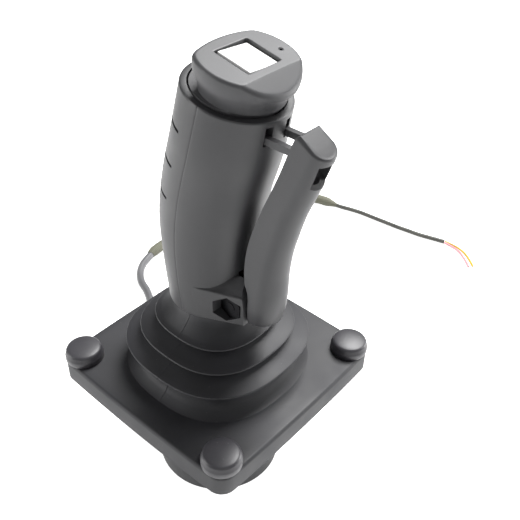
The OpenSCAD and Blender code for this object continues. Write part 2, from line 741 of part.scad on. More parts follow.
// Stepped ring that fills the bellows' neck and carries the grip's foot
module neck_collar() {
    r_neck = neck_r - bellows_wall - run;
    color([0.3, 0.3, 0.31]) difference() {
        rotate_extrude($fn = 64) polygon([[shaft_d / 2, grip_base - 2],
            [r_neck - 1, grip_base - 2], [r_neck, grip_base - 1], [r_neck, grip_base + 4.2],
            [r_neck - 1.7, grip_base + 4.4], [r_neck - 1.7, grip_base + grip_foot_h],
            [shaft_d / 2, grip_base + grip_foot_h]]);
        translate([-ear_slot_w / 2, lever_pivot_y - tongue_r - 0.5, lever_pivot_z - tongue_r - 0.5])
            cube([ear_slot_w, 20, 20]);
    }
}

// ---------------------------------------------------------------- grip

function lean(h) = cap_slope * h / grip_h;

// Point of the grip's surface: height, angle from +X, distance inside the surface
function grip_point(h, a, inset) =
    let (w = row_at(GRIP_ROWS, h, 1) - inset, d = row_at(GRIP_ROWS, h, 2) - inset)
    [w * cos(a), row_at(GRIP_ROWS, h, 3) + d * sin(a),
        grip_base + h - d * sin(a) * tan(lean(h))];

groove_heights = [for (i = [0:2]) groove_start + i * groove_pitch];
groove_end = 18;
function groove_at(h, a) =
    let (inside = a > 180 + groove_end && a < 360 - groove_end,
         near = min([for (g = groove_heights) abs(h - g)]))
    inside && near < groove_w / 4 ? groove_depth : 0;

shell_levels = [0, 6, 12.5, 19, 29, 39, 49, 59, 69, 79, 90, grip_h];
rear_levels = let (w = groove_w / 2, plain = [for (h = shell_levels)
    if (min([for (g = groove_heights) abs(h - g)]) > 2.5) h])
    sorted(concat(plain, [for (g = groove_heights, s = [-w, -w / 3, w / 3, w]) g + s]));

function sorted(v) = len(v) < 2 ? v
    : let (p = v[floor(len(v) / 2)])
    concat(sorted([for (x = v) if (x < p) x]), [for (x = v) if (x == p) x],
        sorted([for (x = v) if (x > p) x]));

// Half of the hollow grip between two angles
module half_shell(a0, a1, levels, steps) {
    gap = asin(seam_gap / 2 / grip_low_r);
    b0 = a0 + gap;
    b1 = a1 - gap;
    loft([for (h = levels) concat(
        [for (k = [0:steps]) let (a = b0 + (b1 - b0) * k / steps)
            grip_point(h, a, groove_at(h, a))],
        [for (k = [steps:-1:0]) let (a = b0 + (b1 - b0) * k / steps)
            grip_point(h, a, grip_wall)])]);
}

// Half plane pieces that keep an inner feature to one shell
module in_half(front) {
    intersection() {
        children();
        translate([-40, front ? seam_gap / 2 : -80 - seam_gap / 2, -20]) cube([80, 80, 220]);
    }
}

// Cross wall that clamps the shaft, at a height above the bottom edge
module clamp_wall(h, front) {
    mid = (front ? 1 : -1) * (0.5 + abs(row_at(GRIP_ROWS, h + 3, 3) - row_at(GRIP_ROWS, h, 3)))
        + row_at(GRIP_ROWS, h, 3);
    w = row_at(GRIP_ROWS, h, 1) - grip_wall / 2;
    translate([0, 0, grip_base + h]) difference() {
        intersection() {
            translate([0, row_at(GRIP_ROWS, h, 3), 0]) cylinder(r = w, h = 3, $fn = 64);
            translate([-40, front ? mid : mid - 80, -1]) cube([80, 80, 6]);
        }
        translate([0, 0, -1]) cylinder(d = shaft_d, h = 6, $fn = 64);
    }
}

// The cap's own frame: origin on the top face in the middle of the window
cap_mid_y = row_at(GRIP_ROWS, grip_h, 3) + 1.8 * cos(cap_slope) + top_h * sin(cap_slope);
cap_mid_z = grip_rim - 1.8 * sin(cap_slope) + top_h * cos(cap_slope);
module cap_frame() {
    translate([0, cap_mid_y, cap_mid_z]) rotate([-cap_slope, 0, 0]) children();
}
rim_mid_y = -1.8;

// Ring under the rim that the cap sits on
module rim_ring(front) {
    mid = row_at(GRIP_ROWS, front ? grip_h : grip_h - 5, 3) + (front ? 0.6 : -0.6);
    intersection() {
        cap_frame() translate([0, rim_mid_y, -top_h - 3.2]) difference() {
            cylinder(r = grip_top_r - grip_wall / 2, h = 3, $fn = 64);
            translate([0, 0, -1]) cylinder(r = 12.4, h = 5, $fn = 64);
        }
        translate([-40, front ? mid : mid - 80, 100]) cube([80, 80, 100]);
    }
}

module nose_plan(grow = 0) {
    hull() {
        circle(grip_low_r + grow - 0.4, $fn = 64);
        translate([0, nose_reach]) circle(nose_r + grow, $fn = small_fn);
    }
}

module lever_axis() { translate([0, lever_pivot_y, lever_pivot_z]) children(); }

shell_screw_heights = [44, 78];
shell_screw_x = 11.5;
module at_shell_screws() {
    for (h = shell_screw_heights, x = [-1, 1] * shell_screw_x)
        translate([x, row_at(GRIP_ROWS, h, 3), grip_base + h]) children();
}

module nose() {
    difference() {
        union() {
            hull() {
                slab(grip_base, grip_base + nose_h - 1.2) nose_plan();
                slab(grip_base, grip_base + nose_h - 0.4) nose_plan(-0.4);
                slab(grip_base, grip_base + nose_h) nose_plan(-1.2);
            }
            hull() {
                slab(grip_base + nose_h - 4, grip_base + nose_h - 1.5) nose_plan(-0.6);
                slab(grip_base + nose_h + 1, grip_base + nose_h + 1.2)
                    translate([0, -1.6]) nose_plan(-1.8);
            }
            hull() {
                slab(grip_base + nose_h - 2, grip_base + nose_h + 0.6)
                    translate([0, -1.4]) nose_plan(-2);
                slab(grip_base + nose_h + 4, grip_base + nose_h + 4.2)
                    translate([0, -5]) nose_plan(-2.5);
            }
        }
        translate([0, row_at(GRIP_ROWS, 6, 3) + 0.3, grip_base - 1])
            cylinder(r = grip_low_r - grip_wall - 0.2, h = nose_h + 8, $fn = 64);
        translate([-60, -60 + row_at(GRIP_ROWS, 0, 3), grip_base - 1]) cube([120, 60, 60]);
        translate([-30, 0, lever_pivot_z]) rotate([90, 0, 90]) linear_extrude(60) polygon([
            [ear_front, -20], [ear_front, 1.4], [ear_front - 0.5, 6.4],
            [ear_front - 3.4, 13.4], [ear_front - 3.4, 30], [60, 30], [60, -20]]);
    }
}

module grip_front_shell() {
    color([0.27, 0.27, 0.28]) difference() {
        union() {
            half_shell(0, 180, shell_levels, 16);
            nose();
            clamp_wall(grip_foot_h, true);
            clamp_wall(34, true);
            rim_ring(true);
            at_shell_screws() rod_y(5.6, 1.6, 14.6);
        }
        rod(2 * (neck_r + run) + 0.2, grip_base - 1, grip_base + 2.2, 64);
        translate([-ear_slot_w / 2, lever_pivot_y - 8.2, grip_base - 1])
            cube([ear_slot_w, 30, slot_top_h + 1]);
        lever_axis() {
            rod_x(pivot_bolt_d + 2 * fit, -30, 30);
            translate([ear_slot_w / 2 + 3, 0, 0]) rotate([0, 90, 0])
                cylinder(d = hex_flats / cos(30), h = 30, $fn = 6);
            rod_x(hex_flats - 0.6, -40, -ear_slot_w / 2 - 3);
        }
        translate([0, 0, grip_base]) for (x = [-1, 1])
            translate([x * (lever_head_w - prong_t / 2) - prong_t / 2 - 0.4, 10, prong_floor - 1])
                cube([prong_t + 0.8, 40, prong_h + 5]);
        at_shell_screws() rod_y(2.2, 0, 12, 32);
        cap_frame() cap_screw_place() cylinder(d = 1.9, h = 60, center = true, $fn = 24);
    }
}

grip_foot_h = 7.4;
slot_top_h = 22.6;
prong_floor = 87;

module grip_rear_shell() {
    color([0.27, 0.27, 0.28]) difference() {
        union() {
            half_shell(180, 360, rear_levels, 16);
            clamp_wall(grip_foot_h, false);
            clamp_wall(34, false);
            rim_ring(false);
            at_shell_screws() rod_y(7.4, -13.6, -1.6);
        }
        at_shell_screws() {
            rod_y(2.8, -40, 0, 32);
            rod_y(5.8, -40, -9, 32);
        }
        cap_frame() cap_screw_place() cylinder(d = 1.9, h = 60, center = true, $fn = 24);
    }
}

module shell_screws() {
    color("dimgray") at_shell_screws() {
        rod_y(2.1, -9, 10.5, 24);
        difference() {
            rod_y(5.4, -11, -9, 32);
            translate([0, -12, 0]) rotate([-90, 0, 0]) cylinder(d = 2.6, h = 2.2, $fn = 6);
        }
    }
}

module grip_harness() {
    color([0.3, 0.1, 0.1]) tube(HARNESS_ROUTE, same(1.8, HARNESS_ROUTE), 8);
}

module grip_cap() {
    r = top_r;
    color([0.30, 0.30, 0.31]) cap_frame() difference() {
        union() {
            intersection() {
                translate([0, 0.4, 0]) rotate_extrude($fn = round_fn) polygon([[0, -top_h],
                    [r - 0.4, -top_h], [r - 1.8, -top_h + 1.2], [r - 1.6, -top_h + 2.6],
                    [r - 0.4, -top_h + 5], [r, -top_h + 7], [r, -1.6], [r - 0.5, -0.5],
                    [r - 1.6, 0], [0, 0]]);
                translate([0, 46 - rear_flat_y, -top_h - 1]) cylinder(r = 46, h = top_h + 2, $fn = 256);
            }
            intersection() {
                translate([0, 0.4, -1.7]) cylinder(r = r + 0.5, h = 1.7, $fn = round_fn);
                translate([0, 46 - rear_flat_y, -2]) cylinder(r = 46.5, h = 3, $fn = 256);
                translate([-30, -30, -3]) cube([60, 22, 4]);
            }
        }
        translate([-40, crease_y, 0]) rotate([-facet_slope, 0, 0]) cube([80, 60, 30]);
        translate([-window_x / 2, -window_y / 2, -4]) cube([window_x, window_y, 6]);
        translate([-window_x / 2 - 0.8, -window_y / 2 - 0.8, -top_h - 1])
            cube([window_x + 1.6, window_y + 1.6, top_h + 1 - 2.4]);
        cap_screw_place() {
            cylinder(d = 1.9, h = 60, center = true, $fn = 24);
            translate([0, 0, -0.8]) cylinder(d = 3, h = 3, $fn = 32);
        }
    }
}

module cap_screw_place() { translate([-13.7, 3.5, 0]) children(); }

module cap_screw() {
    color("dimgray") cap_frame() cap_screw_place() {
        translate([0, 0, -0.8]) difference() {
            cylinder(d = 2.8, h = 0.6, $fn = 32);
            translate([0, 0, 0.2]) cylinder(d = 1.1, h = 1, $fn = 6);
        }
        translate([0, 0, -top_h - 2]) cylinder(d = 1.8, h = top_h + 1.3, $fn = 24);
    }
}

module rocker_frame() {
    x = window_x - 2 * rocker_gap;
    y = window_y - 2 * rocker_gap;
    color([0.05, 0.05, 0.06]) cap_frame() difference() {
        union() {
            translate([-x / 2, -y / 2, -13.4]) cube([x, y, 13.4 - 0.9]);
            translate([-x / 2 - 0.9, -y / 2 - 0.9, -6]) cube([x + 1.8, y + 1.8, 3.4]);
            for (i = [-1, 0, 1]) translate([i * 4.6 - 0.4, -2.4, -18.6]) cube([0.8, 4.8, 6]);
        }
        translate([-x / 2 + rocker_wall, -y / 2 + rocker_wall, -11.4])
            cube([x - 2 * rocker_wall, y - 2 * rocker_wall, 20]);
        translate([0, 0, -rocker_axis_depth]) rod_y(2, -y, y);
    }
}

module rocker_pin() {
    y = window_y - 2 * rocker_gap;
    color("silver") cap_frame() translate([0, 0, -rocker_axis_depth]) rod_y(2, -y / 2, y / 2);
}

// Paddle in its rest position, with its -X end pressed
module rocker_paddle() {
    half = window_x / 2 - rocker_gap - rocker_wall - 0.5;
    y = window_y - 2 * rocker_gap - 2 * rocker_wall - 0.6;
    reach = rocker_axis_depth + 0.9;
    color("white") cap_frame() translate([0, 0, -rocker_axis_depth])
        rotate([0, -rocker_throw / 2, 0]) difference() {
            intersection() {
                rotate([90, 0, 0]) translate([0, 0, -y / 2]) linear_extrude(y) polygon([
                    [-half * 0.55, -3], [half * 0.55, -3], [half - 0.6, reach - 3.4],
                    [half - 0.3, reach], [half - 1, reach + 0.4], [half * 0.4, reach - 0.3],
                    [0, reach - 0.6], [-half * 0.4, reach - 0.3], [-half + 1, reach + 0.4],
                    [-half + 0.3, reach], [-half + 0.6, reach - 3.4]]);
                rotate([90, 0, 0]) cylinder(r = half + 3, h = 40, center = true, $fn = 64);
            }
            rod_y(2 + 2 * pin_clear, -y, y);
        }
}

// ---------------------------------------------------------------- lever

// Ring of a lever section: hollow, open towards the grip
function lever_section(h) =
    let (steps = 10, w = row_at(LEVER_ROWS, h, 1), inner = row_at(LEVER_ROWS, h, 2),
         side = row_at(LEVER_ROWS, h, 3), front = row_at(LEVER_ROWS, h, 4),
         z = lever_pivot_z + h, t = lever_wall)
    concat(
        [[w, inner, z]],
        [for (k = [0:steps]) let (a = 180 * k / steps)
            [w * cos(a), side + (front - side) * sin(a), z]],
        [[-w, inner, z], [-w + t, inner, z]],
        [for (k = [steps:-1:0]) let (a = 180 * k / steps)
            [(w - t) * cos(a), side - 0.6 + (front - t - side + 0.6) * sin(a), z]],
        [[w - t, inner, z]]);

function lever_block(h) =
    let (steps = 10, w = row_at(LEVER_ROWS, h, 1), inner = row_at(LEVER_ROWS, h, 2),
         side = row_at(LEVER_ROWS, h, 3), front = row_at(LEVER_ROWS, h, 4),
         z = lever_pivot_z + h)
    concat([[w, inner, z]],
        [for (k = [0:steps]) let (a = 180 * k / steps)
            [w * cos(a), side + (front - side) * sin(a), z]],
        [[-w, inner, z]]);

lever_levels = [for (row = LEVER_ROWS) row[0]];
lever_top_h = 88;
tongue_r = 6.5;

module trigger_lever() {
    tongue_w = ear_slot_w - 2 * tongue_clear;
    color([0.26, 0.26, 0.27]) difference() {
        union() {
            loft([for (h = lever_levels) lever_section(h)]);
            loft([for (h = [80, 86, 92]) lever_block(h)]);
            loft([for (h = [-6.6, 0, 6]) lever_block(h)]);
            lever_axis() {
                rod_x(2 * tongue_r, -tongue_w / 2, tongue_w / 2);
                translate([-tongue_w / 2, 0, -tongue_r]) cube([tongue_w, 8, 2 * tongue_r - 0.4]);
                translate([-tongue_w / 2, tongue_back_y - lever_pivot_y, 5]) cube([tongue_w, 6, 9]);
            }
            for (x = [-1, 1]) translate([x * (lever_head_w - prong_t / 2) - prong_t / 2,
                prong_tip_y, grip_base + prong_floor]) {
                cube([prong_t, 44 - prong_tip_y, prong_h]);
                cube([prong_t, 1.8, prong_h + 1.8]);
            }
        }
        // sloped top face
        translate([-20, row_at(LEVER_ROWS, lever_top_h, 2), lever_pivot_z + lever_top_h])
            rotate([-lever_top_slope, 0, 0]) translate([0, -10, 0]) cube([40, 60, 40]);
        lever_axis() rod_x(pivot_bolt_d + 2 * pin_clear + 0.02, -30, 30);
        // window under the head
        lever_window();
    }
}

prong_tip_y = 24;

module lever_window() {
    w = 9;
    translate([-w / 2, 0, lever_pivot_z]) rotate([90, 0, 90]) linear_extrude(w) polygon([
        [50, 78.5], [64, 78.5], [64, 70], [52.9, 66], [46, 72], [46, 78.5]]);
}

module pivot_bolt() {
    x = ear_slot_w / 2 + 3;
    color("silver") lever_axis() {
        rod_x(pivot_bolt_d, -x, x + 3.4);
        difference() {
            rod_x(8.6, -x - 4, -x);
            translate([-x - 4.1, 0, 0]) rotate([0, 90, 0]) cylinder(d = 4.6, h = 2.4, $fn = 6);
        }
    }
}

module pivot_nut() {
    x = ear_slot_w / 2 + 3;
    color("silver") lever_axis() translate([x, 0, 0]) rotate([0, 90, 0]) difference() {
        cylinder(d = (hex_flats - 0.6) / cos(30), h = 3.2, $fn = 6);
        translate([0, 0, -1]) cylinder(d = pivot_bolt_d, h = 6, $fn = small_fn);
    }
}

// Spring between the lever's tongue and the grip wall, behind the lever
module lever_spring() {
    turns = 6;
    steps = 10;
    n = turns * steps;
    h = lever_spring_h;
    y0 = row_at(GRIP_ROWS, h, 3) + row_at(GRIP_ROWS, h, 2) + 0.5;
    y1 = row_at(LEVER_ROWS, h - lever_pivot_h, 4) - lever_wall - 1.2;
    route = [for (i = [0:n]) let (a = 360 * i / steps)
        [2.7 * cos(a), y0 + (y1 - y0) * i / n, grip_base + h + 2.7 * sin(a)]];
    color("gainsboro") tube(route, same(0.35, route), 6, [1, 0, 0]);
}
lever_spring_h = 27;

// Snap switch that stands on the lower clamp wall, in front of the shaft
switch_y0 = shaft_d / 2 + 0.5;
switch_y1 = 12;
plunger_z = grip_base + 17;
plunger_d = 2.4;
tongue_back_y = lever_pivot_y + 2.6;

module microswitch() {
    foot = grip_base + grip_foot_h + 3;
    color([0.1, 0.1, 0.1]) difference() {
        translate([-3.2, switch_y0, foot]) cube([6.4, switch_y1 - switch_y0, 12]);
        translate([0, 0, plunger_z]) rod_y(plunger_d + 2 * pin_clear, switch_y1 - 1.8, 20, 32);
        translate([0, 0, foot + 9.6]) rod_y(1.6, 0, 20, 24);
    }
}

module switch_plunger() {
    color("firebrick") translate([0, 0, plunger_z])
        rod_y(plunger_d, switch_y1 - 0.6, tongue_back_y - 0.2, 32);
}

mounting_plate();
gate_plate();
plate_screws();
boot_flange();
bellows();
screw_caps();
gimbal_housing();
outer_pivot_pins();
bottom_cover();
cover_screws();
sensor_board();
board_screws();
hall_sensors();
board_connector();
cable_relief();
inner_lead();
cable();
cable_sleeve();
taped_lead();
yellow_wire();
pink_wire();
forward_spring();
gimbal_ring();
outer_bushes();
inner_bushes();
gimbal_hub();
inner_pivot_pin();
side_spring();
shaft();
magnet_holder();
magnet();
neck_collar();
grip_front_shell();
grip_rear_shell();
shell_screws();
grip_harness();
grip_cap();
cap_screw();
rocker_frame();
rocker_pin();
rocker_paddle();
pivot_bolt();
pivot_nut();
lever_spring();
microswitch();
switch_plunger();
trigger_lever();
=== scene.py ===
"""Looks of a panel-mounted industrial joystick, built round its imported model.

Every length in the classes is in millimetres and in the model's own frame; meshes are
turned to metres when they are made.
"""

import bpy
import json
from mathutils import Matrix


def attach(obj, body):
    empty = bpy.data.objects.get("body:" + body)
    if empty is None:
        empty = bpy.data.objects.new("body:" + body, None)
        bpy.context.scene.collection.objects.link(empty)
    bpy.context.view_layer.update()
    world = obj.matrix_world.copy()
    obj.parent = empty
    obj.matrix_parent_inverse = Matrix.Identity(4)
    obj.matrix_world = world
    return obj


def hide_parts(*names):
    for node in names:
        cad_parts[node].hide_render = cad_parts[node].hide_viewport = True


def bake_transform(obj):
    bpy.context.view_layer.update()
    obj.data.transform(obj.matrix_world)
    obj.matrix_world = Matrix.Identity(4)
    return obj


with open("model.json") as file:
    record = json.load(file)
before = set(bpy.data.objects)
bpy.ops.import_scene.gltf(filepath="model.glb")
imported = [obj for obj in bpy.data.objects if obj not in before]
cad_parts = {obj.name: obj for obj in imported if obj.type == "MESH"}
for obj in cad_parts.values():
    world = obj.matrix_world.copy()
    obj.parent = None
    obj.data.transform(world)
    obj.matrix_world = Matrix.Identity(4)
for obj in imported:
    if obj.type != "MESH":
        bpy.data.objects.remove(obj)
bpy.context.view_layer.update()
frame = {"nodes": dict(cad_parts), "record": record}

import json  # noqa: E402
import logging  # noqa: E402
import math  # noqa: E402
from dataclasses import dataclass, field  # noqa: E402
from enum import Enum  # noqa: E402
from typing import Iterable, Sequence  # noqa: E402

import bmesh  # noqa: E402
import bpy  # noqa: E402
from mathutils import Matrix, Vector  # noqa: E402

MM = 0.001
LOG = logging.getLogger("joystick")
Point = tuple[float, float, float]


class Body(str, Enum):
    """The rigid bodies that pieces ride on."""

    BASE = "base"
    RING = "ring"
    STICK = "stick"
    LEVER = "lever"
    ROCKER = "rocker"
    PLUNGER = "plunger"


class Joining(Enum):
    """What becomes of a tool shape: cut away from a piece, or added to it."""

    CUT = "DIFFERENCE"
    ADD = "UNION"


class Half(Enum):
    """The two moulded halves of the grip, by the angles that they span."""

    FRONT = (0.0, 180.0)
    REAR = (180.0, 360.0)


# ---------------------------------------------------------------- colour and nodes


def linear(hex_code: str) -> tuple[float, float, float, float]:
    """Turn an sRGB hex colour to linear values.

    Args:
        hex_code: A colour such as "#47474a".

    Returns:
        Red, green, blue and alpha, linear.
    """
    channels = []
    for start in (1, 3, 5):
        value = int(hex_code[start : start + 2], 16) / 255
        channels.append(value / 12.92 if value <= 0.04045 else ((value + 0.055) / 1.055) ** 2.4)
    return (*channels, 1.0)


def add_node(tree: bpy.types.NodeTree, kind: str, values: dict | None = None, links: dict | None = None,
             **settings: object) -> bpy.types.Node:
    """Add a node with its settings, socket values and incoming links.

    Args:
        tree: The node tree.
        kind: The node's type name.
        values: Socket name or index to its constant value.
        links: Socket name or index to the output socket that feeds it.
        settings: Attributes of the node itself.

    Returns:
        The new node.
    """
    node = tree.nodes.new(kind)
    for name, value in settings.items():
        setattr(node, name, value)
    for key, value in (values or {}).items():
        node.inputs[key].default_value = value
    for key, source in (links or {}).items():
        tree.links.new(source, node.inputs[key])
    return node


def new_material(name: str) -> tuple[bpy.types.Material, bpy.types.NodeTree, bpy.types.Node]:
    """Start a material with a bare Principled shader.

    Args:
        name: The material's name.

    Returns:
        The material, its tree and the shader node.
    """
    material = bpy.data.materials.new(name)
    material.use_nodes = True
    tree = material.node_tree
    tree.nodes.clear()
    shader = add_node(tree, "ShaderNodeBsdfPrincipled")
    add_node(tree, "ShaderNodeOutputMaterial", links={"Surface": shader.outputs["BSDF"]})
    return material, tree, shader


def noise_on(tree: bpy.types.NodeTree, size_mm: float, detail: float = 3.0, stretch: Point = (1, 1, 1),
             coordinates: str = "Object") -> bpy.types.Node:
    """Add a noise whose blobs are about size_mm across.

    Args:
        tree: The node tree.
        size_mm: Size of one blob in millimetres.
        detail: Octaves of finer noise.
        stretch: Scale of the pattern along each axis.
        coordinates: Output of Texture Coordinate to read.

    Returns:
        The noise node.
    """
    place = add_node(tree, "ShaderNodeTexCoord")
    mapping = add_node(tree, "ShaderNodeMapping", {"Scale": stretch},
                       {"Vector": place.outputs[coordinates]})
    return add_node(tree, "ShaderNodeTexNoise", {"Scale": 1 / (size_mm * MM), "Detail": detail},
                    {"Vector": mapping.outputs["Vector"]})


def mix_colours(tree: bpy.types.NodeTree, factor: bpy.types.NodeSocket, low: Sequence[float],
                high: Sequence[float], edges: tuple[float, float] = (0.35, 0.65)) -> bpy.types.NodeSocket:
    """Blend two colours by a factor.

    Args:
        tree: The node tree.
        factor: The socket that drives the blend.
        low: Colour at the low edge.
        high: Colour at the high edge.
        edges: Factor values at which the blend starts and ends.

    Returns:
        The colour socket.
    """
    ramp = add_node(tree, "ShaderNodeValToRGB", links={"Fac": factor})
    ramp.color_ramp.elements[0].position = edges[0]
    ramp.color_ramp.elements[0].color = low
    ramp.color_ramp.elements[1].position = edges[1]
    ramp.color_ramp.elements[1].color = high
    return ramp.outputs["Color"]


def spread(tree: bpy.types.NodeTree, source: bpy.types.NodeSocket, low: float,
           high: float) -> bpy.types.NodeSocket:
    """Map a 0 to 1 value onto a range.

    Args:
        tree: The node tree.
        source: The socket to map.
        low: Result at 0.3.
        high: Result at 0.7.

    Returns:
        The mapped socket.
    """
    node = add_node(tree, "ShaderNodeMapRange",
                    {"From Min": 0.3, "From Max": 0.7, "To Min": low, "To Max": high},
                    {"Value": source})
    return node.outputs["Result"]


def raise_surface(tree: bpy.types.NodeTree, shader: bpy.types.Node, height: bpy.types.NodeSocket,
                  strength: float, depth_mm: float) -> None:
    """Let a pattern raise the surface that a shader sees.

    Args:
        tree: The node tree.
        shader: The Principled shader.
        height: The pattern.
        strength: Share of the full effect.
        depth_mm: Depth of the pattern in millimetres.
    """
    bump = add_node(tree, "ShaderNodeBump", {"Strength": strength,
                                             "Distance": depth_mm * MM}, {"Height": height})
    tree.links.new(bump.outputs["Normal"], shader.inputs["Normal"])


# ---------------------------------------------------------------- finishes


@dataclass(frozen=True)
class MouldedPlastic:
    """Glass-filled nylon moulded in a spark-eroded tool: an even satin with a fine grain.

    Attributes:
        name: Material name.
        colour: Main colour.
        rubbed: Colour where hands or dust have lightened it.
        roughness: Middle roughness.
        grain_mm: Size of the tool's grain, drawn coarser than the real 0.1 mm so that it shows.
        grain_depth_mm: Depth of the grain.
    """

    name: str
    colour: str
    rubbed: str
    roughness: float = 0.46
    grain_mm: float = 0.35
    grain_depth_mm: float = 0.02

    def make(self) -> bpy.types.Material:
        """Build the material.

        Returns:
            The material.
        """
        material, tree, shader = new_material(self.name)
        cloudy = noise_on(tree, 14, 4)
        colour = mix_colours(tree, cloudy.outputs["Fac"], linear(self.colour), linear(self.rubbed))
        tree.links.new(colour, shader.inputs["Base Color"])
        tree.links.new(spread(tree, cloudy.outputs["Fac"], self.roughness - 0.04, self.roughness + 0.05),
                       shader.inputs["Roughness"])
        shader.inputs["IOR"].default_value = 1.53
        grain = noise_on(tree, self.grain_mm, 2)
        raise_surface(tree, shader, grain.outputs["Fac"], 0.35, self.grain_depth_mm)
        return material


@dataclass(frozen=True)
class MouldedRubber:
    """Black nitrile rubber, compression moulded: duller than plastic, with bloom and dust specks.

    Attributes:
        name: Material name.
        colour: Main colour.
        bloom: Colour of the pale bloom that sits in patches.
        dust: Colour of the specks.
        roughness: Middle roughness.
    """

    name: str
    colour: str
    bloom: str
    dust: str
    roughness: float = 0.55

    def make(self) -> bpy.types.Material:
        """Build the material.

        Returns:
            The material.
        """
        material, tree, shader = new_material(self.name)
        patches = noise_on(tree, 22, 5)
        base = mix_colours(tree, patches.outputs["Fac"], linear(self.colour), linear(self.bloom))
        place = add_node(tree, "ShaderNodeTexCoord")
        specks = add_node(tree, "ShaderNodeTexVoronoi", {"Scale": 1 / (2.6 * MM), "Randomness": 1.0},
                          {"Vector": place.outputs["Object"]})
        speck = add_node(tree, "ShaderNodeMapRange",
                         {"From Min": 0.07, "From Max": 0.12, "To Min": 1.0, "To Max": 0.0},
                         {"Value": specks.outputs["Distance"]})
        sparse = noise_on(tree, 9, 2)
        chosen = add_node(tree, "ShaderNodeMath", {1: 0.3}, {0: speck.outputs["Result"]},
                          operation="MULTIPLY")
        where = add_node(tree, "ShaderNodeMapRange", {"From Min": 0.5, "From Max": 0.62},
                         {"Value": sparse.outputs["Fac"]})
        amount = add_node(tree, "ShaderNodeMath",
                          links={0: chosen.outputs["Value"], 1: where.outputs["Result"]},
                          operation="MULTIPLY")
        mix = add_node(tree, "ShaderNodeMix", data_type="RGBA")
        tree.links.new(amount.outputs["Value"], mix.inputs[0])
        tree.links.new(base, mix.inputs[6])
        mix.inputs[7].default_value = linear(self.dust)
        tree.links.new(mix.outputs[2], shader.inputs["Base Color"])
        tree.links.new(spread(tree, patches.outputs["Fac"], self.roughness - 0.06, self.roughness + 0.06),
                       shader.inputs["Roughness"])
        shader.inputs["IOR"].default_value = 1.52
        grain = noise_on(tree, 0.5, 2)
        raise_surface(tree, shader, grain.outputs["Fac"], 0.3, 0.025)
        return material


@dataclass(frozen=True)
class WorkedMetal:
    """A metal part with the marks of how it was worked.

    Attributes:
        name: Material name.
        colour: Reflection colour.
        roughness: Middle roughness.
        mark_mm: Spacing of the tool marks.
        stretch: How the marks are drawn out along each axis.
    """

    name: str
    colour: str
    roughness: float
    mark_mm: float = 0.4
    stretch: Point = (1.0, 1.0, 12.0)

    def make(self) -> bpy.types.Material:
        """Build the material.

        Returns:
            The material.
        """
        material, tree, shader = new_material(self.name)
        shader.inputs["Base Color"].default_value = linear(self.colour)
        shader.inputs["Metallic"].default_value = 1.0
        marks = noise_on(tree, self.mark_mm, 3, self.stretch)
        tree.links.new(spread(tree, marks.outputs["Fac"], self.roughness * 0.75, self.roughness * 1.25),
                       shader.inputs["Roughness"])
        raise_surface(tree, shader, marks.outputs["Fac"], 0.25, 0.01)
        return material


@dataclass(frozen=True)
class GlossPlastic:
    """Polished ABS or PVC: a clear gloss with only the faintest waviness.

    Attributes:
        name: Material name.
        colour: Main colour.
        shade: Slightly darker colour in the mottling.
        roughness: Roughness.
    """

    name: str
    colour: str
    shade: str
    roughness: float = 0.22

    def make(self) -> bpy.types.Material:
        """Build the material.

        Returns:
            The material.
        """
        material, tree, shader = new_material(self.name)
        cloudy = noise_on(tree, 6, 2)
        colour = mix_colours(tree, cloudy.outputs["Fac"], linear(self.colour), linear(self.shade))
        tree.links.new(colour, shader.inputs["Base Color"])
        shader.inputs["Roughness"].default_value = self.roughness
        shader.inputs["IOR"].default_value = 1.54
        waves = noise_on(tree, 3, 1)
        raise_surface(tree, shader, waves.outputs["Fac"], 0.15, 0.01)
        return material


@dataclass(frozen=True)
class BraidedSleeve:
    """Braided polyester sleeving: two sets of strands that cross over each other.

    Attributes:
        name: Material name.
        colour: Strand colour.
        gap: Colour between strands.
        strands: Strands of one set round the sleeve.
        pitch_mm: Length of one strand's full turn.
    """

    name: str
    colour: str
    gap: str
    strands: int = 12
    pitch_mm: float = 22.0

    def make(self) -> bpy.types.Material:
        """Build the material, on a UV map of turns and millimetres along.

        Returns:
            The material.
        """
        material, tree, shader = new_material(self.name)
        place = add_node(tree, "ShaderNodeTexCoord")
        split = add_node(tree, "ShaderNodeSeparateXYZ", links={"Vector": place.outputs["UV"]})
        waves = []
        for direction in (1, -1):
            along = add_node(tree, "ShaderNodeMath", {1: direction / self.pitch_mm},
                             {0: split.outputs["Y"]}, operation="MULTIPLY")
            turn = add_node(tree, "ShaderNodeMath", links={0: split.outputs["X"], 1: along.outputs["Value"]},
                            operation="ADD")
            phase = add_node(tree, "ShaderNodeMath", {1: 2 * math.pi * self.strands},
                             {0: turn.outputs["Value"]}, operation="MULTIPLY")
            wave = add_node(tree, "ShaderNodeMath", links={0: phase.outputs["Value"]}, operation="SINE")
            waves.append(wave.outputs["Value"])
        height = add_node(tree, "ShaderNodeMath", links={0: waves[0], 1: waves[1]}, operation="MULTIPLY")
        level = add_node(tree, "ShaderNodeMath", {1: 0.5, 2: 0.5}, {0: height.outputs["Value"]},
                         operation="MULTIPLY_ADD")
        colour = mix_colours(tree, level.outputs["Value"], linear(self.gap), linear(self.colour), (0.1, 0.6))
        tree.links.new(colour, shader.inputs["Base Color"])
        shader.inputs["Roughness"].default_value = 0.7
        raise_surface(tree, shader, level.outputs["Value"], 0.6, 0.15)
        return material


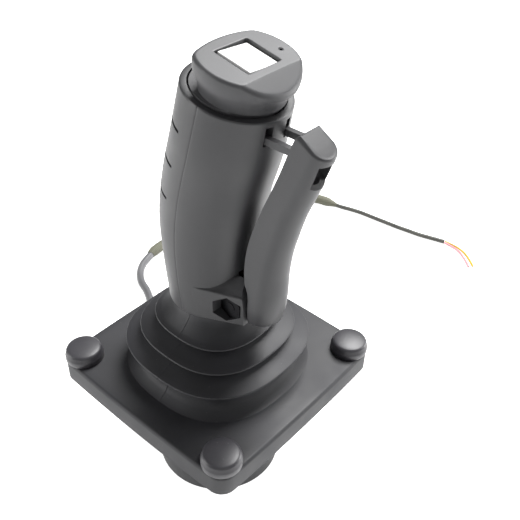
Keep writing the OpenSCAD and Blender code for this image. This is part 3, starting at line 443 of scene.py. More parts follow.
@dataclass(frozen=True)
class CircuitLacquer:
    """Glass-epoxy board under green lacquer, with the faint weave and tracks that show through.

    Attributes:
        name: Material name.
        colour: Lacquer over bare board.
        track: Lacquer over copper.
    """

    name: str
    colour: str
    track: str

    def make(self) -> bpy.types.Material:
        """Build the material.

        Returns:
            The material.
        """
        material, tree, shader = new_material(self.name)
        place = add_node(tree, "ShaderNodeTexCoord")
        cells = add_node(tree, "ShaderNodeTexVoronoi", {"Scale": 1 / (2.4 * MM)},
                         {"Vector": place.outputs["Object"]}, distance="MANHATTAN")
        colour = mix_colours(tree, cells.outputs["Distance"], linear(self.track),
                             linear(self.colour), (0.3, 0.4))
        tree.links.new(colour, shader.inputs["Base Color"])
        shader.inputs["Roughness"].default_value = 0.3
        raise_surface(tree, shader, cells.outputs["Distance"], 0.3, 0.03)
        return material


FINISHES = {
    "zinc_plated_steel": WorkedMetal("zinc_plated_steel", "#a9acb0", 0.38, 0.8, (1, 6, 1)),
    "gate_steel": WorkedMetal("hardened_gate_steel", "#7d8086", 0.34, 0.5, (6, 1, 1)),
    "screw_steel": WorkedMetal("plated_screw_steel", "#b4b6ba", 0.25, 0.3, (1, 1, 4)),
    "spring_steel": WorkedMetal("drawn_spring_wire", "#a5a7ab", 0.3, 0.2, (1, 1, 8)),
    "cast_alloy": WorkedMetal("turned_aluminium", "#94979b", 0.4, 0.5, (1, 1, 8)),
    "bush_bronze": WorkedMetal("sintered_bronze", "#b0824a", 0.42, 0.25, (1, 1, 1)),
    "ground_steel": WorkedMetal("ground_steel", "#c3c5c8", 0.2, 0.25, (1, 1, 14)),
    "magnet_nickel": WorkedMetal("nickel_plated_magnet", "#b3b4b7", 0.24, 0.6, (1, 1, 1)),
    "boot_rubber": MouldedRubber("nitrile_boot_rubber", "#202023", "#26262a", "#5c5c5a", 0.56),
    "cap_rubber": MouldedRubber("nitrile_cap_rubber", "#343337", "#3c3b3f", "#7f7f7e", 0.42),
    "housing_plastic": MouldedPlastic("housing_nylon", "#19191b", "#1f1f21", 0.5),
    "cable_jacket": MouldedPlastic("grey_cable_jacket", "#5a5a5c", "#666668", 0.45, 0.5, 0.01),
    "tape": MouldedPlastic("black_wrapping_tape", "#3d3d38", "#4a4a44", 0.5, 0.8, 0.03),
    "harness_insulation": MouldedPlastic("red_harness_sleeve", "#5a1f1f", "#6b2a2a", 0.5),
    "connector_plastic": MouldedPlastic("ivory_plug_nylon", "#e2dccb", "#ece7d9", 0.4),
    "chip_plastic": MouldedPlastic("black_moulding_compound", "#1b1b1e", "#222226", 0.45),
    "holder_plastic": MouldedPlastic("natural_acetal", "#d2d0c8", "#dcdad3", 0.4),
    "grip_plastic": MouldedPlastic("charcoal_grip_nylon", "#29292b", "#2f2f31", 0.46),
    "cap_plastic": MouldedPlastic("charcoal_cap_nylon", "#3a3a3c", "#424244", 0.5),
    "lever_plastic": MouldedPlastic("charcoal_lever_nylon", "#303032", "#373739", 0.46),
    "rocker_body": MouldedPlastic("black_switch_nylon", "#0d0d11", "#121217", 0.35),
    "plunger_red": MouldedPlastic("red_plunger_acetal", "#241413", "#2a1816", 0.4),
    "rocker_white": GlossPlastic("white_rocker_abs", "#fbfbfa", "#f6f6f5", 0.3),
    "black_oxide_steel": WorkedMetal("black_oxide_steel", "#1f1f21", 0.45, 0.3, (1, 1, 4)),
    "yellow_insulation": GlossPlastic("yellow_wire_pvc", "#d6b43a", "#c9a634", 0.35),
    "pink_insulation": GlossPlastic("pink_wire_pvc", "#d99aa0", "#cf8f96", 0.35),
    "woven_sleeve": BraidedSleeve("olive_braided_sleeve", "#6e6e5e", "#45453b"),
    "circuit_board": CircuitLacquer("green_circuit_board", "#1c5331", "#2a6b3e"),
}
_made: dict[str, bpy.types.Material] = {}


def finish(slot: str) -> bpy.types.Material:
    """Give the material of one of the record's slots, made once.

    Args:
        slot: The slot's name.

    Returns:
        The material.
    """
    if slot not in _made:
        _made[slot] = FINISHES[slot].make()
    return _made[slot]


# ---------------------------------------------------------------- mesh helpers


def smooth_row(rows: Sequence[Sequence[float]], height: float, column: int) -> float:
    """Read a table of sections on a smooth curve through its rows.

    Args:
        rows: Rows of a height and its values.
        height: Where to read.
        column: Which value.

    Returns:
        The value there.
    """
    last = len(rows) - 1
    i = max([k for k in range(last) if k == 0 or height >= rows[k][0]])
    a, b, d, e = rows[max(i - 1, 0)], rows[i], rows[i + 1], rows[min(i + 2, last)]
    step = d[0] - b[0]
    t = (height - b[0]) / step
    slope_b = (d[column] - a[column]) / (d[0] - a[0]) * step
    slope_d = (e[column] - b[column]) / (e[0] - b[0]) * step
    return ((2 * t**3 - 3 * t**2 + 1) * b[column] + (t**3 - 2 * t**2 + t) * slope_b
            + (3 * t**2 - 2 * t**3) * d[column] + (t**3 - t**2) * slope_d)


def put(name: str, data: bpy.types.ID) -> bpy.types.Object:
    """Add an object to the scene at the origin.

    Args:
        name: Its name.
        data: Its mesh, lamp or camera.

    Returns:
        The object.
    """
    obj = bpy.data.objects.new(name, data)
    bpy.context.scene.collection.objects.link(obj)
    return obj


def settled_mesh(obj: bpy.types.Object) -> bpy.types.Mesh:
    """Give an object's mesh as its modifiers leave it.

    Args:
        obj: The object.

    Returns:
        A new mesh.
    """
    graph = bpy.context.evaluated_depsgraph_get()
    return bpy.data.meshes.new_from_object(obj.evaluated_get(graph))


def mesh_object(name: str, points: Iterable[Sequence[float]], faces: Iterable[Sequence[int]],
                smooth_angle: float = 35.0) -> bpy.types.Object:
    """Make an object at the origin from points in millimetres.

    Args:
        name: The piece's name.
        points: Vertices in millimetres.
        faces: Faces as vertex numbers.
        smooth_angle: Edges sharper than this stay sharp.

    Returns:
        The object, linked to the scene, with faces pointing outwards.
    """
    mesh = bpy.data.meshes.new(name)
    mesh.from_pydata([Vector(p) * MM for p in points], [], [tuple(f) for f in faces])
    obj = put(name, mesh)
    tidy_normals(obj, smooth_angle)
    return obj


def tidy_normals(obj: bpy.types.Object, smooth_angle: float = 35.0) -> None:
    """Merge doubles, turn faces outwards and shade smooth up to an angle.

    Args:
        obj: A mesh object.
        smooth_angle: Edges sharper than this stay sharp.
    """
    shape = bmesh.new()
    shape.from_mesh(obj.data)
    bmesh.ops.remove_doubles(shape, verts=shape.verts, dist=0.001 * MM)
    bmesh.ops.recalc_face_normals(shape, faces=shape.faces)
    for face in shape.faces:
        face.smooth = True
    limit = math.radians(smooth_angle)
    for edge in shape.edges:
        edge.smooth = len(edge.link_faces) == 2 and edge.calc_face_angle(math.pi) < limit
    shape.to_mesh(obj.data)
    shape.free()
    obj.data.update()


def stack(loops: Sequence[Sequence[Point]], close: bool = False) -> tuple[list[Point], list[tuple[int, ...]]]:
    """Join closed loops of equal length one above the other.

    Args:
        loops: The loops, in order.
        close: True joins the last loop to the first; False caps both ends.

    Returns:
        Points and faces.
    """
    n = len(loops[0])
    points = [p for loop in loops for p in loop]
    faces: list[tuple[int, ...]] = []
    count = len(loops)
    for r in range(count if close else count - 1):
        a, b = r * n, ((r + 1) % count) * n
        for i in range(n):
            j = (i + 1) % n
            faces.append((a + i, a + j, b + j, b + i))
    if not close:
        faces.append(tuple(range(n))[::-1])
        faces.append(tuple(range((count - 1) * n, count * n)))
    return points, faces


def arc(centre: tuple[float, float], radius: float, start: float, end: float,
        steps: int) -> list[tuple[float, float]]:
    """Points of an arc in a plane.

    Args:
        centre: Its centre.
        radius: Its radius.
        start: Start angle in degrees.
        end: End angle in degrees.
        steps: Number of pieces.

    Returns:
        The points, both ends included.
    """
    angles = [math.radians(start + (end - start) * i / steps) for i in range(steps + 1)]
    return [(centre[0] + radius * math.cos(a), centre[1] + radius * math.sin(a)) for a in angles]


def lathe(name: str, profile: Sequence[tuple[float, float]], sides: int, place: Matrix | None = None,
          closed: bool = True) -> bpy.types.Object:
    """Turn a profile of (radius, height) round Z.

    Args:
        name: The piece's name.
        profile: The profile in millimetres; a closed ring if closed is true.
        sides: Number of sides.
        place: Where the turned shape goes, in millimetres.
        closed: True if the profile is a ring, as for a tube.

    Returns:
        The object.
    """
    place = place or Matrix.Identity(4)
    loops = [[tuple(place @ Vector((r * math.cos(2 * math.pi * k / sides),
                                    r * math.sin(2 * math.pi * k / sides), z)))
              for k in range(sides)] for r, z in profile]
    points, faces = stack(loops, closed)
    return mesh_object(name, points, faces)


def box_cutter(name: str, low: Point, high: Point) -> bpy.types.Object:
    """Make a plain box to cut with.

    Args:
        name: Its name.
        low: Lowest corner in millimetres.
        high: Highest corner in millimetres.

    Returns:
        The object.
    """
    (x0, y0, z0), (x1, y1, z1) = low, high
    loops = [[(x0, y0, z), (x1, y0, z), (x1, y1, z), (x0, y1, z)] for z in (z0, z1)]
    return mesh_object(name, *stack(loops))


def prism_x(name: str, outline: Sequence[tuple[float, float]], x0: float, x1: float) -> bpy.types.Object:
    """Make a prism along X from an outline of (y, z).

    Args:
        name: Its name.
        outline: The outline in millimetres.
        x0: Where it starts.
        x1: Where it ends.

    Returns:
        The object.
    """
    loops = [[(x, y, z) for y, z in outline] for x in (x0, x1)]
    return mesh_object(name, *stack(loops))


def rod_x(name: str, radius: float, x0: float, x1: float, y: float, z: float,
          sides: int = 64) -> bpy.types.Object:
    """Make a rod along X.

    Args:
        name: Its name.
        radius: Radius in millimetres.
        x0: Where it starts.
        x1: Where it ends.
        y: Height of its axis along Y.
        z: Height of its axis along Z.
        sides: Number of sides.

    Returns:
        The object.
    """
    ring = [(y + radius * math.cos(2 * math.pi * k / sides), z + radius * math.sin(2 * math.pi * k / sides))
            for k in range(sides)]
    return prism_x(name, ring, x0, x1)


def combine(target: bpy.types.Object, tool: bpy.types.Object, joining: Joining = Joining.CUT) -> None:
    """Cut a tool from a piece, or join the two, and drop the tool.

    Args:
        target: The piece.
        tool: The other shape, removed afterwards.
        joining: Whether the tool is cut away or added.
    """
    modifier = target.modifiers.new("combine", "BOOLEAN")
    modifier.operation = joining.value
    modifier.solver = "EXACT"
    modifier.object = tool
    mesh = settled_mesh(target)
    target.modifiers.remove(modifier)
    old = target.data
    target.data = mesh
    bpy.data.meshes.remove(old)
    bpy.data.objects.remove(tool)


def dress(obj: bpy.types.Object, slot: str, body: Body | None, *nodes: str) -> bpy.types.Object:
    """Give a piece its finish, its body and the CAD nodes that it stands for.

    Args:
        obj: The piece.
        slot: The record's material slot.
        body: The body it rides on, or None if it bends between two.
        nodes: CAD nodes that it replaces.

    Returns:
        The piece.
    """
    obj.data.materials.clear()
    obj.data.materials.append(finish(slot))
    if nodes:
        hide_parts(*nodes)
    if body is not None:
        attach(obj, body.value)
    LOG.info("%s: %d faces, slot %s", obj.name, len(obj.data.polygons), slot)
    return obj


# ---------------------------------------------------------------- cords


@dataclass
class Cord:
    """A cable or wire that lies where the model has it.

    Attributes:
        name: The piece's name.
        node: The CAD node that it stands for.
        slot: The record's material slot.
        route: Points in metres.
        diameter: Diameter in millimetres.
        far_end: What is on the far end; not used.
        taper: Radius at each end as a share of the middle's, and its length in millimetres.
        sides: Sides of the tube.
    """

    name: str
    node: str
    slot: str
    route: list[Point]
    diameter: float
    far_end: str = "bare"
    taper: tuple[float, float, float] = (1.0, 1.0, 0.0)
    sides: int = 24

    def centreline(self, step_mm: float = 1.2) -> list[Vector]:
        """Give close points on a smooth curve through the route.

        Args:
            step_mm: Distance between points, roughly.

        Returns:
            Points in millimetres.
        """
        p = [Vector(q) / MM for q in self.route]
        line: list[Vector] = []
        for i in range(len(p) - 1):
            a, b, c, d = p[max(i - 1, 0)], p[i], p[i + 1], p[min(i + 2, len(p) - 1)]
            count = max(2, round((c - b).length / step_mm))
            for k in range(count):
                t = k / count
                line.append(0.5 * (2 * b + (c - a) * t + (2 * a - 5 * b + 4 * c - d) * t * t
                                   + (3 * b - a - 3 * c + d) * t**3))
        return line + [p[-1]]

    def make(self) -> tuple[bpy.types.Object, list[Vector], float]:
        """Sweep the tube, with a UV map of turns round and millimetres along.

        Returns:
            The object, its centreline and its length in millimetres.
        """
        line = self.centreline()
        along = [0.0]
        for a, b in zip(line, line[1:]):
            along.append(along[-1] + (b - a).length)
        side = Vector((0.3, 0.2, 1.0))
        loops: list[list[Point]] = []
        for i, centre in enumerate(line):
            ahead = (line[min(i + 1, len(line) - 1)] - line[max(i - 1, 0)]).normalized()
            side = (side - side.dot(ahead) * ahead).normalized()
            other = ahead.cross(side)
            start, end, reach = self.taper
            share = 1.0
            if reach:
                near = min(1.0, along[i] / reach)
                far = min(1.0, (along[-1] - along[i]) / (2 * reach))
                share = (start + (1 - start) * near) * (end + (1 - end) * far)
            radius = self.diameter / 2 * share
            loops.append([tuple(centre + radius * (side * math.cos(2 * math.pi * k / self.sides)
                                                   + other * math.sin(2 * math.pi * k / self.sides)))
                          for k in range(self.sides)])
        points, faces = stack(loops)
        obj = mesh_object(self.name, points, faces)
        layer = obj.data.uv_layers.new(name="around_and_along")
        n = self.sides
        for polygon in obj.data.polygons:
            numbers = [obj.data.loops[k].vertex_index for k in polygon.loop_indices]
            wraps = max(v % n for v in numbers) - min(v % n for v in numbers) > 1
            for k, v in zip(polygon.loop_indices, numbers):
                turn = (v % n) / n
                if wraps and turn < 0.5:
                    turn += 1.0
                layer.data[k].uv = (turn, along[min(v // n, len(along) - 1)])
        return obj, line, along[-1]

    def lay(self) -> None:
        obj, line, length = self.make()
        dress(obj, self.slot, Body.BASE, self.node)


@dataclass
class CableRun:
    """The cable, its braided sleeve, the taped lead and the two wires, end to end."""

    cable: list[Point] = field(default_factory=lambda: [
        (0, -0.0474, -0.0429), (0, -0.055, -0.0433), (-0.002, -0.063, -0.0452), (-0.006, -0.071, -0.0484),
        (-0.012, -0.079, -0.0515), (-0.020, -0.087, -0.0531), (-0.030, -0.094, -0.0534),
        (-0.040, -0.101, -0.0534), (-0.048, -0.108, -0.0534), (-0.054, -0.118, -0.0534),
        (-0.058, -0.128, -0.0534), (-0.064, -0.136, -0.0534), (-0.072, -0.142, -0.0534),
        (-0.082, -0.1456, -0.0534)])
    sleeve: list[Point] = field(default_factory=lambda: [
        (-0.0824, -0.1458, -0.0534), (-0.0852, -0.1466, -0.053), (-0.094, -0.1472, -0.0524),
        (-0.107, -0.147, -0.0524), (-0.122, -0.146, -0.0524), (-0.138, -0.145, -0.0524),
        (-0.154, -0.142, -0.0524), (-0.170, -0.138, -0.0524), (-0.185, -0.132, -0.0524),
        (-0.199, -0.124, -0.0524), (-0.211, -0.114, -0.0524), (-0.219, -0.104, -0.0524),
        (-0.223, -0.095, -0.0534), (-0.225, -0.088, -0.0542)])
    lead: list[Point] = field(default_factory=lambda: [
        (-0.225, -0.0878, -0.0542), (-0.2262, -0.083, -0.0544), (-0.228, -0.077, -0.0544),
        (-0.230, -0.068, -0.0544), (-0.231, -0.058, -0.0544), (-0.232, -0.048, -0.0544),
        (-0.233, -0.038, -0.0544), (-0.2345, -0.028, -0.0544), (-0.236, -0.019, -0.0544),
        (-0.2385, -0.010, -0.0544), (-0.241, -0.001, -0.0544)])
    yellow: list[Point] = field(default_factory=lambda: [
        (-0.2418, -0.0009, -0.0545), (-0.2425, 0.002, -0.0549), (-0.2426, 0.0065, -0.0551),
        (-0.2417, 0.012, -0.0551), (-0.2392, 0.0174, -0.0551), (-0.2352, 0.0228, -0.0551),
        (-0.230, 0.0284, -0.0551)])
    pink: list[Point] = field(default_factory=lambda: [
        (-0.2403, -0.0005, -0.0545), (-0.2406, 0.0024, -0.0549), (-0.2404, 0.0065, -0.0551),
        (-0.2392, 0.0114, -0.0551), (-0.2364, 0.0162, -0.0551), (-0.2322, 0.0214, -0.0551),
        (-0.2274, 0.0266, -0.0551)])

    def build(self) -> None:
        """Lay every part of the run."""
        Cord("yellow_wire_lay", "yellow_wire", "yellow_insulation", self.yellow, 1.5, sides=16).lay()
        Cord("pink_wire_lay", "pink_wire", "pink_insulation", self.pink, 1.5, sides=16).lay()
        Cord("taped_lead_lay", "taped_lead", "tape", self.lead, 3.0, sides=20).lay()
        Cord("braided_sleeve", "cable_sleeve", "woven_sleeve", self.sleeve, 7.0,
             taper=(0.8, 0.43, 4.0), sides=32).lay()
        Cord("cable_lay", "cable", "cable_jacket", self.cable, 5.0, sides=28).lay()


# ---------------------------------------------------------------- base


@dataclass
class Boot:
    """Rubber cover of the flange and the bellows above it."""

    side: float = 106.6
    corner: float = 7.3
    bow: float = 0.8
    thick: float = 10.7
    plate: float = 102.0
    plate_thick: float = 7.5
    bore: float = 64.0
    edge: float = 1.8
    access: float = 11.0
    pitch: float = 90.0
    wall: float = 1.6
    neck: float = 17.6
    grip_foot: float = 51.0
    lips: tuple[float, float, float] = (40.0, 33.3, 26.6)
    lip_low: float = 14.6
    rise: float = 7.2
    flash_azimuth: float = 2.5

    def outline(self, inset: float, steps: int = 14) -> list[tuple[float, float]]:
        """Plan of the cover: round corners and slightly bowed sides.

        Args:
            inset: Distance inside the outer edge.
            steps: Pieces in each corner and half side.

        Returns:
            Points, anticlockwise.
        """
        half = self.side / 2
        c = half - self.corner
        bow_r = (c * c + self.bow**2) / (2 * self.bow)
        ring: list[tuple[float, float]] = []
        for quarter in range(4):
            turn = math.radians(90 * quarter)
            local = []
            for i in range(2 * steps + 1):
                y = -c + 2 * c * i / (2 * steps)
                local.append((half + self.bow - bow_r + math.sqrt(bow_r**2 - y * y) - inset, y))
            corner = arc((c, c), self.corner - inset, 0, 90, steps)
            local += corner[1:-1]
            ring += [(x * math.cos(turn) - y * math.sin(turn), x * math.sin(turn) + y * math.cos(turn))
                     for x, y in local]
        return ring

    def circle_like(self, outline: Sequence[tuple[float, float]], radius: float) -> list[tuple[float, float]]:
        """Ring with as many points as an outline, at the same angles.

        Args:
            outline: The outline to match.
            radius: The ring's radius.

        Returns:
            The ring's points.
        """
        return [(radius * x / math.hypot(x, y), radius * y / math.hypot(x, y)) for x, y in outline]

    def cover(self) -> bpy.types.Object:
        """Make the flange cover: skirt, soft top edge and open middle.

        Returns:
            The piece.
        """
        profile = [(0.0, 0.0), (0.0, self.thick - self.edge)]
        for x, z in arc((self.edge, self.thick - self.edge), self.edge, 180, 90, 6)[1:]:
            profile.append((x, z))
        loops = [[(x, y, z) for x, y in self.outline(inset)] for inset, z in profile]
        base = self.outline(self.edge)
        inner = self.circle_like(base, self.bore / 2)
        for share in (0.12, 0.35, 0.65, 0.9):
            loops.append([(a[0] * (1 - share) + b[0] * share, a[1] * (1 - share) + b[1] * share, self.thick)
                          for a, b in zip(base, inner)])
        loops.append([(x, y, self.thick) for x, y in inner])
        loops.append([(x, y, self.plate_thick) for x, y in inner])
        lip = (self.side - self.plate) / 2
        loops.append([(x, y, self.plate_thick) for x, y in self.outline(lip)])
        loops.append([(x, y, 0.0) for x, y in self.outline(lip)])
        obj = mesh_object("flange_cover", *stack(loops, close=True))
        for sx in (-1, 1):
            for sy in (-1, 1):
                place = Matrix.Translation((sx * self.pitch / 2, sy * self.pitch / 2, 0))
                hole = lathe("hole", [(self.access / 2, 5.0), (self.access / 2, 14.0)], 48, place,
                             closed=False)
                combine(obj, hole)
        tidy_normals(obj, 30)
        return obj

    def profile(self) -> list[tuple[float, float]]:
        """Outer profile of the bellows, foot to neck, as (half width, height).

        Returns:
            The points, close together on the rounded lips.
        """
        top = self.thick
        line: list[tuple[float, float]] = [(self.lips[0] + 0.5, top), (self.lips[0] - 0.7, top + 0.5),
                                           (self.lips[0] - 1.9, top + 1.3), (self.lips[0] - 3.4, top + 2.3),
                                           (self.lips[0] - 4.6, top + 3.4), (self.lips[0] - 5.3, top + 4.8),
                                           (self.lips[0] - 5.8, top + 7), (self.lips[0] - 6, top + 9.5),
                                           (self.lips[0] - 5.9, top + 11.4)]
        for number, r in enumerate(self.lips):
            z = top + self.lip_low + number * self.rise
            root = r - (5.4 if number == 0 else 4.0)
            line += [(root - 0.15, z - 2.3), (root + 0.15, z - 1.75), (root + 0.9, z - 1.35)]
            line += [(r - 1.6, z - 0.95)]
            line += [(r - 0.55 + x, z - 0.1 + y) for x, y in arc((0, 0), 0.55, -75, 75, 8)]
            following = self.lips[number + 1] - 4.4 if number < 2 else self.neck + 3
            climb = self.rise - 2.9 if number < 2 else 4.7
            for share in (0.18, 0.36, 0.54, 0.72, 0.86):
                sag = 0.5 * math.sin(math.pi * share)
                line.append((r - 1 + (following - r + 1) * share,
                             z + 0.5 + (climb - 0.5) * share - sag * 0.5))
            if number < 2:
                line.append((following + 0.05, z + climb))
        z = top + self.lip_low + 2 * self.rise
        line += [(self.neck + 2.4, z + 5.4), (self.neck + 1.2, z + 6.9), (self.neck + 0.5, z + 8.5),
                 (self.neck + 0.1, z + 10), (self.neck, self.grip_foot + 0.7)]
        return line

    def angles(self) -> list[float]:
        """Angles round the bellows, with a fine step at the two mould flash lines.

        Returns:
            Angles in degrees.
        """
        plain = [360 * k / 180 for k in range(180)]
        fine = [(self.flash_azimuth + 180 * side + shift) % 360 for side in (0, 1)
                for shift in (-0.55, -0.25, 0.0, 0.25, 0.55)]
        kept = [a for a in plain if min(abs((a - f + 180) % 360 - 180) for f in fine) > 0.8]
        return sorted(kept + fine)

    def ring_at(self, half: float, z: float, inset: float = 0.0) -> list[Point]:
        """One loop of the bellows.

        Args:
            half: Half width of the outer surface.
            z: Height.
            inset: Distance inside it.

        Returns:
            The loop's points.
        """
        power = 2 + 0.5 * min(1.0, max(0.0, (half - self.neck) / 8))
        loop = []
        for angle in self.angles():
            a = math.radians(angle)
            reach = (half - inset) / (abs(math.cos(a)) ** power + abs(math.sin(a)) ** power) ** (1 / power)
            off = abs((angle - self.flash_azimuth + 90) % 180 - 90)
            if inset == 0 and off < 0.3:
                reach += 0.22 * (1 - off / 0.3)
            loop.append((reach * math.cos(a), reach * math.sin(a), z))
        return loop

    def bellows(self) -> tuple[bpy.types.Object, bpy.types.Object]:
        """Make the bellows in two lengths that meet in a fold.

        Returns:
            The lower and the upper length.
        """
        line = self.profile()
        fold = self.thick + self.lip_low + self.rise - 2.3
        cut = min(range(len(line)), key=lambda i: abs(line[i][1] - fold))
        made = []
        for name, part in (("bellows_lower", line[: cut + 1]), ("bellows_upper", line[cut:])):
            loops = [self.ring_at(r, z) for r, z in part]
            loops += [self.ring_at(r, z, self.wall) for r, z in reversed(part)]
            made.append(mesh_object(name, *stack(loops, close=True), smooth_angle=50))
        return made[0], made[1]

    def build(self) -> None:
        """Make and dress the cover and the bellows."""
        dress(self.cover(), "boot_rubber", Body.BASE, "boot_flange")
        lower, upper = self.bellows()
        dress(lower, "boot_rubber", None, "bellows")
        dress(upper, "boot_rubber", None)
        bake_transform(lower)
        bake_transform(upper)


@dataclass
class ScrewCaps:
    """Four domed rubber caps, set out by a node tree on the corners of a square."""

    diameter: float = 17.9
    height: float = 6.7
    wall: float = 1.4
    seat: float = 10.7
    pitch: float = 90.0

    def single(self) -> bpy.types.Object:
        """Make one cap at the origin.

        Returns:
            The cap.
        """
        r, h, w = self.diameter / 2, self.height, self.wall
        side = [(r - 0.15, 0.0), (r, 0.2), (r, 2.7), (r - 0.1, 3.1), (r - 0.35, 3.5)]
        dome = arc((r - 2.4, h - 2.55), 1.95, 22, 72, 7)
        crown = [(r - 3.2, h - 0.42), (r - 5.0, h - 0.16), (r - 7.0, h - 0.04), (0.02, h)]
        inside = [(0.02, h - w), (r - w - 2.6, h - w - 0.4), (r - w, h - 3.4), (r - w, 0.0)]
        return lathe("one_cap", side + dome + crown + inside, 96)

    def build(self) -> None:
        """Set the caps out and dress them."""
        cap = self.single()
        tree = bpy.data.node_groups.new("caps_on_square", "GeometryNodeTree")
        tree.interface.new_socket("Geometry", in_out="INPUT", socket_type="NodeSocketGeometry")
        tree.interface.new_socket("Geometry", in_out="OUTPUT", socket_type="NodeSocketGeometry")
        pitch_socket = tree.interface.new_socket("Pitch", in_out="INPUT", socket_type="NodeSocketFloat")
        height_socket = tree.interface.new_socket("Seat Height", in_out="INPUT",
                                                  socket_type="NodeSocketFloat")
        source = add_node(tree, "NodeGroupInput")
        grid = add_node(tree, "GeometryNodeMeshGrid", {"Vertices X": 2, "Vertices Y": 2},
                        {"Size X": source.outputs["Pitch"], "Size Y": source.outputs["Pitch"]})
        lift = add_node(tree, "ShaderNodeCombineXYZ", links={"Z": source.outputs["Seat Height"]})
        moved = add_node(tree, "GeometryNodeTransform",
                         links={"Geometry": grid.outputs["Mesh"], "Translation": lift.outputs["Vector"]})
        spots = add_node(tree, "GeometryNodeMeshToPoints", links={"Mesh": moved.outputs["Geometry"]})
        copies = add_node(tree, "GeometryNodeInstanceOnPoints",
                          links={"Points": spots.outputs["Points"], "Instance": source.outputs["Geometry"]})
        real = add_node(tree, "GeometryNodeRealizeInstances", links={"Geometry": copies.outputs["Instances"]})
        painted = add_node(tree, "GeometryNodeSetMaterial", {"Material": finish("cap_rubber")},
                           {"Geometry": real.outputs["Geometry"]})
        add_node(tree, "NodeGroupOutput", links={"Geometry": painted.outputs["Geometry"]})
        modifier = cap.modifiers.new("caps", "NODES")
        modifier.node_group = tree
        modifier[pitch_socket.identifier] = self.pitch * MM
        modifier[height_socket.identifier] = self.seat * MM
        mesh = settled_mesh(cap)
        bpy.data.objects.remove(cap)
        caps = put("cap_set", mesh)
        tidy_normals(caps, 50)
        dress(caps, "cap_rubber", Body.BASE, "screw_caps")


# ---------------------------------------------------------------- grip


